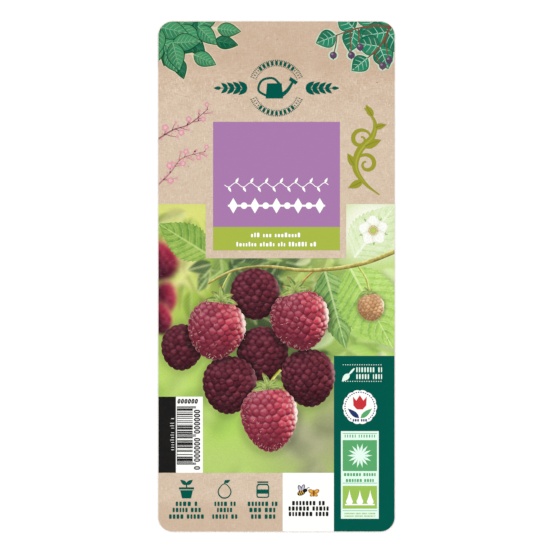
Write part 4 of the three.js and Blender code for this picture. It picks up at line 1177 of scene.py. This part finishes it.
# tip is how far its point is turned to the front, and sun how much of the light from the right it takes
Berry = namedtuple("Berry", "name at width length lean taper tones blur tip seed sun stalk", defaults=[None])
BERRIES = [
    Berry("berry_far_left", (-40, -30), 18, 20, -8, 0.08, SHADED, 0.45, 20, 21, 0.45),
    Berry("berry_far_top", (-9, -7.5), 21, 22, 4, 0.08, SHADED, 0.3, -18, 22, 0.4),
    Berry("berry_far_middle", (-6, -33), 22, 24, -4, 0.1, SHADED, 0.3, 12, 23, 0.2),
    Berry("berry_right", (13.5, -43), 23, 25, 8, 0.12, SHADED, 0.2, 26, 24, 0.6),
    Berry("berry_left", (-20, -46), 23, 25, -6, 0.12, SHADED, 0.2, 8, 25, 0.35),
    Berry("berry_near_right", (10, -18.5), 25, 26, 10, 0.14, RIPE, 0.1, 16, 26, 1.0),
    Berry("berry_near_left", (-25.5, -22.5), 24.5, 26, -10, 0.14, RIPE, 0.1, 24, 27, 0.9),
    Berry("berry_near_low", (-3, -60.5), 24, 28, 3, 0.2, SUNLIT, 0.1, 6, 28, 1.0,
          [(1.8, -39.5), (-1.6, -43.4)]),
    Berry("berry_unripe", (40, -13), 11.5, 12, 12, 0.08, UNRIPE, 0.15, 14, 29, 0.8),
]
FRONT_SUN = 0.8  # a berry that takes this much sun stands in front, and shows its sepals and its hairs
USUAL_WIDTH = 24  # the sepals and the hairs are sized for a berry this wide
DRUPELET = 3.25  # from the middle of one drupelet to the next
SKY = np.array([-0.22, 0.74, 0.63])
SUN = np.array([0.86, 0.22, 0.46])
SEPALS = {"length": 7.2, "width": 2.3, "spread": (-74, -38, -4, 34, 70)}
BERRY_GRID = {"round": 288, "rings_per_mm": 2.6}  # points on a ring, and rings for each mm of width


def fruit_shadow(points, berries, reach):
    """How deep each point lies in the soft shadow round the berries before it."""
    shade = np.zeros(len(points))
    for at in berries:
        local = turned(points - at.at, -at.lean) / (at.width / 2, at.length / 2)
        beyond = (np.linalg.norm(local, axis=1) - 1) * (at.width + at.length) / 4
        shade = np.maximum(shade, np.exp(-(np.maximum(beyond, 0) / reach) ** 2))
    return shade


def drupelets(at):
    """Middles and radii of a raspberry's drupelets, in rings from its tip to its stalk."""
    random = np.random.default_rng(at.seed)
    pitch = DRUPELET * min(1, at.width / 20)
    half_width, half_length = at.width / 2, at.length / 2
    inset = 1 - 0.5 * pitch / half_width
    rings = round(math.pi * (half_width + half_length) / 2 / (0.84 * pitch))
    middles, radii = [], []
    for ring in range(rings + 1):
        turn = math.pi * (1 - ring / rings)
        radius = half_width * math.sin(turn) * (1 + at.taper * math.cos(turn)) * inset
        y = half_length * math.cos(turn) * inset
        count = max(1, round(2 * math.pi * radius / pitch))
        for i in range(count):
            around = 2 * math.pi * (i + 0.5 * (ring % 2) + random.uniform(-0.16, 0.16)) / count
            middles.append((radius * math.sin(around), y + random.uniform(-0.12, 0.12) * pitch,
                            radius * math.cos(around)))
            radii.append(pitch * random.uniform(0.54, 0.66))
    middles = np.array(middles)
    middles[:, 1:] = turned(middles[:, 1:], at.tip)
    middles[:, :2] = turned(middles[:, :2], at.lean)
    front = middles[:, 2] > -0.35 * half_width
    return middles[front], np.array(radii)[front]


def nearest_drupelet(offsets, middles, radii):
    """The drupelet that stands nearest at each point, how far out on it the point lies, where its skin
    faces there, and how near the seam to the next drupelet is."""
    away = offsets[:, None, :] - middles[None, :, :2]
    reach = np.linalg.norm(away, axis=2)
    inside = np.maximum(radii ** 2 - reach ** 2, 0)
    nearness = middles[:, 2] + np.sqrt(inside) - 6 * np.maximum(reach - radii, 0)
    first = nearness.argmax(1)
    rows = np.arange(len(offsets))
    across = away[rows, first] / radii[first][:, None]
    out = np.linalg.norm(across, axis=1)
    across = across / np.maximum(1, out)[:, None]
    out = np.minimum(out, 1)
    facing = np.column_stack([across, np.sqrt(1 - out ** 2)])
    second = np.partition(nearness, -2, axis=1)[:, -2]
    return first, out, facing, 1 - smooth(0.0, 0.5, nearness[rows, first] - second)


def berry_shade(at, offsets, middles, radii):
    """The colour of a berry at offsets from its middle: the light on the whole fruit and on each drupelet."""
    first, out, facing, seam = nearest_drupelet(offsets, middles, radii)
    local = turned(offsets, -at.lean)
    narrow = 1 + at.taper * np.clip(local[:, 1] / (at.length / 2), -1, 1)
    body = np.stack([local[:, 0] / (at.width / 2 * narrow), local[:, 1] / (at.length / 2)], 1)
    body = turned(body, at.lean)
    body = body / np.maximum(1, np.linalg.norm(body, axis=1) / 0.995)[:, None]
    own = np.random.default_rng(at.seed + 100).uniform(-1, 1, len(radii))[first]
    tones = at.tones

    sunny = smooth(-0.15, 0.75, body[:, 0] + 0.25 * body[:, 1] + 0.12 * own) * at.sun
    colour = mixed(tones.shade, tones.body, sunny)
    depth = 0.22 * smooth(0, 1, -body[:, 1]) + 0.12 * smooth(0.3, 1, -body[:, 0])
    colour = colour * (1 - depth + 0.07 * own)[:, None]
    dark = np.maximum(0.55 * smooth(0.55, 1.0, out), 0.8 * seam)
    sky = facing @ (SKY / np.linalg.norm(SKY)) + 0.12 * own
    colour = mixed(colour, tones.seam, 0.7 * (1 - smooth(-0.1, 0.55, sky)))
    colour = mixed(colour, tones.seam, dark)
    veil = smooth(0.62, 1.0, sky) * (1 - 0.8 * dark)
    colour = mixed(colour, mixed(tones.bloom, tones.lit, sunny), 0.7 * veil)
    sun = facing @ (SUN / np.linalg.norm(SUN)) + 0.08 * own
    strong = smooth(0.25, 0.85, body[:, 0] + 0.2 * body[:, 1]) * at.sun
    colour = mixed(colour, tones.lit, 0.6 * smooth(0.5, 0.95, sun) * strong * (1 - 0.5 * seam))
    colour = mixed(colour, tones.glint, 0.75 * smooth(0.82, 1.0, sun) * strong ** 2 * (1 - seam))
    edge = body @ (SUN[:2] / np.linalg.norm(SUN[:2]))
    colour = mixed(colour, tones.rim, at.sun * smooth(0.8, 0.95, edge) * smooth(0.0, 0.6, sun))
    colour = mixed(colour, tones.glint, 0.35 * smooth(0.955, 1.0, np.linalg.norm(body, axis=1)))
    places = offsets + at.at
    fuzz = grain(places, 0.4, at.seed) + grain(places, 1.1, at.seed + 9) - 1
    return np.clip(colour + 0.06 * fuzz[:, None], 0, 1)


def softened(paint, points, radius, count=6):
    """The mean of a colour over a small disc round each point."""
    total = paint(points)
    for i in range(count):
        reach = radius * (1 if i % 2 else 0.6)
        total = total + paint(points + turned((reach, 0), 360 * i / count))
    return total / (count + 1)


def berry_outline(at, turn):
    """How far a berry reaches at an angle from its stalk, with a bulge for each drupelet on its rim."""
    count = round((at.width + at.length) / 2.1)
    bulge = 0.955 + 0.045 * np.abs(np.sin(turn * count / 2)) ** 0.7
    across = at.width / 2 * np.sin(turn) * (1 + at.taper * np.cos(turn))
    along = at.length / 2 * np.cos(turn)
    return np.stack([across * bulge, along * bulge], 1)


def print_berry(at, nearer, pile):
    """A berry on rings of points, in the shadow of those that lie nearer."""
    columns, rings = BERRY_GRID["round"], round(at.width * BERRY_GRID["rings_per_mm"])
    rim = turned(berry_outline(at, -2 * math.pi * np.arange(columns) / columns), at.lean)
    shares = np.linspace(1 / rings, 1, rings)
    offsets = np.vstack([[(0.0, 0.0)], (rim[None] * shares[:, None, None]).reshape(-1, 2)])
    faces = [(0, 1 + i, 1 + (i + 1) % columns) for i in range(columns)]
    faces += [tuple(1 + i for i in face) for face in grid_faces(rings, columns, closed=True)]
    middles, radii = drupelets(at)
    colours = softened(lambda places: berry_shade(at, places, middles, radii), offsets, at.blur)
    points = offsets + at.at
    colours = mixed(colours, colours * 0.4, 0.75 * fruit_shadow(points, nearer, 1.7))
    plates = Plates(LAYERS[1])
    plates.paint(points, faces, pile, colours)
    plates.finish(at.name + "_print", "berry_ink", at.name)


def sepal_colour(along, side, points, blush=0.6):
    """Downy green on a sepal: a pale rib and rim, a darker foot and more or less of a reddish tip."""
    lit = 0.5 + 0.3 * side + 0.6 * (grain(points, 0.8, 12) - 0.5)
    colour = mixed("5f7d38", "a3b75c", smooth(0.1, 0.9, lit))
    colour = mixed(colour, "dfe3a6", 0.6 * (1 - smooth(0.05, 0.3, np.abs(side))) * smooth(0.05, 0.4, along))
    colour = mixed(colour, "e6e2b4", 0.5 * smooth(0.75, 1.0, np.abs(side)))
    colour = mixed(colour, "46592c", 0.5 * (1 - smooth(0.0, 0.35, along)))
    return mixed(colour, "9a5a40", blush * smooth(0.72, 1, along))


def print_sepals(at, pile):
    """The small green leaves round a berry's stalk, turned back from it, and its own stalk if it has one."""
    size = at.width / USUAL_WIDTH
    foot = turned((0, at.length * 0.47), at.lean) + at.at
    plates = Plates(LAYERS[1])

    def pointed(share):
        return SEPALS["width"] * size * math.sin(math.pi * min(0.98, share * 0.9 + 0.08)) ** 0.8

    if at.stalk:
        grid, faces, _, side = band_grid([*at.stalk, foot], tapering(1.1, 1.1), 40, 9)
        plates.paint(grid, faces, pile, cane_colour(side, grid, ("8f8f2f", "c9c850", "f1eea0")))
    for i, spread in enumerate(SEPALS["spread"]):
        length = SEPALS["length"] * size * (1 - 0.18 * (i % 2))
        bend = math.copysign(length * 0.2, spread)
        line = turned([(0, -0.6 * size), (0, length * 0.45), (bend, length * 0.95)], at.lean - spread * 1.15)
        grid, faces, along, side = band_grid(line + foot, pointed, 30, 11)
        plates.paint(grid, faces, pile, sepal_colour(along, side, grid))
    node = at.name + "_sepals"
    replaced = [node] if node in frame["nodes"] else []
    plates.finish(node + "_print", "cane_ink", *replaced)


# ---------------------------------------------------------------- the picture: the blossom and the hairs

BLOSSOM = {"at": (41, 19.5), "radius": 6.4, "petals": 5, "turn": 20}
HAIRS = {"rim": 0.78, "on_rim": 0.5, "within": 0.13, "thickness": 0.006}  # the middle two are chances


def print_blossom(pile):
    """Five rounded white petals over each other, a green middle and a ring of yellow stamens."""
    at, radius, petals, start = BLOSSOM.values()
    plates = Plates(LAYERS[1])

    def rounded(share):
        return radius * (0.16 + 0.8 * math.sin(math.pi * (0.1 + 0.8 * share)) ** 1.5)

    for i in range(petals):
        line = turned([(1, 0), (radius * 0.5, 0), (radius * 0.98, 0)], start + 360 * (i + 0.5) / petals)
        grid, faces, along, side = band_grid(line + at, tapering(3.4, 0.3), 16, 7)
        green = mixed(sepal_colour(along, side, grid, blush=0), "a9cf7e", 0.55)
        plates.paint(grid, faces, pile, green)
    for i in range(petals):
        line = turned([(0.4, 0), (radius * 0.5, 0.1), (radius * 0.97, 0)], start + 360 * i / petals)
        grid, faces, along, side = band_grid(line + at, rounded, 26, 17)
        colour = mixed("dfe6c4", "fdfdf8", smooth(0.05, 0.55, along))
        colour = mixed(colour, "d3d8c6", 0.55 * smooth(0.7, 1.0, np.abs(side)))
        colour = mixed(colour, "e6e9d6", 0.5 * np.abs(np.sin(side * 7)) ** 4)
        plates.paint(grid, faces, pile, colour)
    ring = oval(1.5, 1.5, 24) + at
    plates.outline(ring, pile.over(ring), linear(np.tile(srgb("b9cc6a"), (len(ring), 1))))
    plates.finish("picture_blossom_print", "white_ink", "picture_blossom", ink="picture_ink")
    stamens = arc_marks(*at, 1.9, 0, 345, 0.62, 0.32, 0.62) + arc_marks(*at, 1.15, 8, 350, 0.6, 0.28, 0.4)
    press_marks("blossom_stamens", stamens, pile.over(ring) - MARK, "orange_ink", corner=0.4)


def print_hairs(top):
    """The dried styles that stand off a ripe berry, as fine pale strokes, most of them along its rim."""
    random = np.random.default_rng(31)
    hairs = []
    for at in BERRIES:
        if at.sun < FRONT_SUN:
            continue
        for (x, y, _), radius in zip(*drupelets(at)):
            out = np.hypot(x / at.width, y / at.length) * 2
            chance = HAIRS["on_rim"] if out > HAIRS["rim"] else HAIRS["within"]
            for _ in range(2):
                if random.random() > chance:
                    continue
                turn = math.degrees(math.atan2(y, x)) - 90 + random.uniform(-60, 60)
                length = random.uniform(0.7, 1.4) * at.width / USUAL_WIDTH
                foot = np.array([x, y]) * 1.04 + at.at + random.uniform(-0.5, 0.5, 2) * radius
                middle = foot + turned((0, length / 2), turn)
                hairs.append((*middle, random.uniform(0.07, 0.11), length, turn))
    press_marks("berry_hairs", hairs, top, "unripe_berry_ink", thickness=HAIRS["thickness"],
                corner=0.4, ink="pale_down_ink")


def print_picture():
    """The picture from its ground up: leaves, cane, the far berries, the near ones and the blossom."""
    print_ground()
    pile = Pile(LAYERS[1], 0.0085)
    print_leaves(pile)
    print_cane(pile)
    for i, at in enumerate(BERRIES):
        print_berry(at, BERRIES[i + 1:-1], pile)
        if at.sun >= FRONT_SUN:
            print_sepals(at, pile)
    print_blossom(pile)
    print_hairs(pile.top())


# ---------------------------------------------------------------- floor, light and camera

def studio_floor():
    """Matt white seamless paper."""
    material, tree, place = new_material("seamless_paper")
    colour, _ = streaked(tree, place, "ffffff", [(60, 60, 0, 3.0, 0.3, 0.7, 0.2, "fdfdfc")])
    surface = add(tree, "ShaderNodeBsdfDiffuse", {"Color": colour})
    add(tree, "ShaderNodeOutputMaterial", {"Surface": surface})
    half = 3.0
    mesh = bpy.data.meshes.new("studio_floor")
    corners = [(-half, -half, 0), (half, -half, 0), (half, half, 0), (-half, half, 0)]
    mesh.from_pydata(corners, [], [(0, 1, 2, 3)])
    mesh.materials.append(material)
    floor = bpy.data.objects.new("studio_floor", mesh)
    bpy.context.scene.collection.objects.link(floor)


LIGHT = {"away": 1.5, "high": 1.35, "size": 1.3, "watts": 12.8, "surround": 0.3}


def studio_light():
    """Four large soft boxes round the label, and a pale surround."""
    world = bpy.data.worlds.new("pale_surround")
    world.use_nodes = True
    background = world.node_tree.nodes["Background"]
    background.inputs["Color"].default_value = (1, 1, 1, 1)
    background.inputs["Strength"].default_value = LIGHT["surround"]
    bpy.context.scene.world = world
    for i, share in enumerate((1.15, 0.9, 0.9, 1.05)):
        angle = math.radians(135 + 90 * i)
        lamp = bpy.data.lights.new(f"soft_box_{i}", "AREA")
        lamp.shape = "SQUARE"
        lamp.size = LIGHT["size"]
        lamp.energy = LIGHT["watts"] * share
        box = bpy.data.objects.new(f"soft_box_{i}", lamp)
        box.location = (LIGHT["away"] * math.cos(angle), LIGHT["away"] * math.sin(angle), LIGHT["high"])
        box.rotation_euler = Vector(box.location).to_track_quat("Z", "Y").to_euler()
        bpy.context.scene.collection.objects.link(box)


def camera():
    """A long lens straight over the label."""
    lens, sensor, view_width = 150.0, 36.0, 234.25
    data = bpy.data.cameras.new("camera")
    data.lens = lens
    data.sensor_width = sensor
    data.clip_end = 20
    eye = bpy.data.objects.new("camera", data)
    eye.location = (0, 0, (view_width * lens / sensor + LAYERS[0]) * MM)
    bpy.context.scene.collection.objects.link(eye)
    bpy.context.scene.camera = eye
    bpy.context.scene.view_settings.view_transform = "Standard"


dress_nodes()
print_words()
print_barcode_noughts()
print_emblem_rings()
print_column_rules()
print_left_spray()
print_right_spray()
print_blossom_twigs()
print_vine_strokes()
print_insects()
print_fine_rules()
print_picture()
studio_floor()
studio_light()
camera()
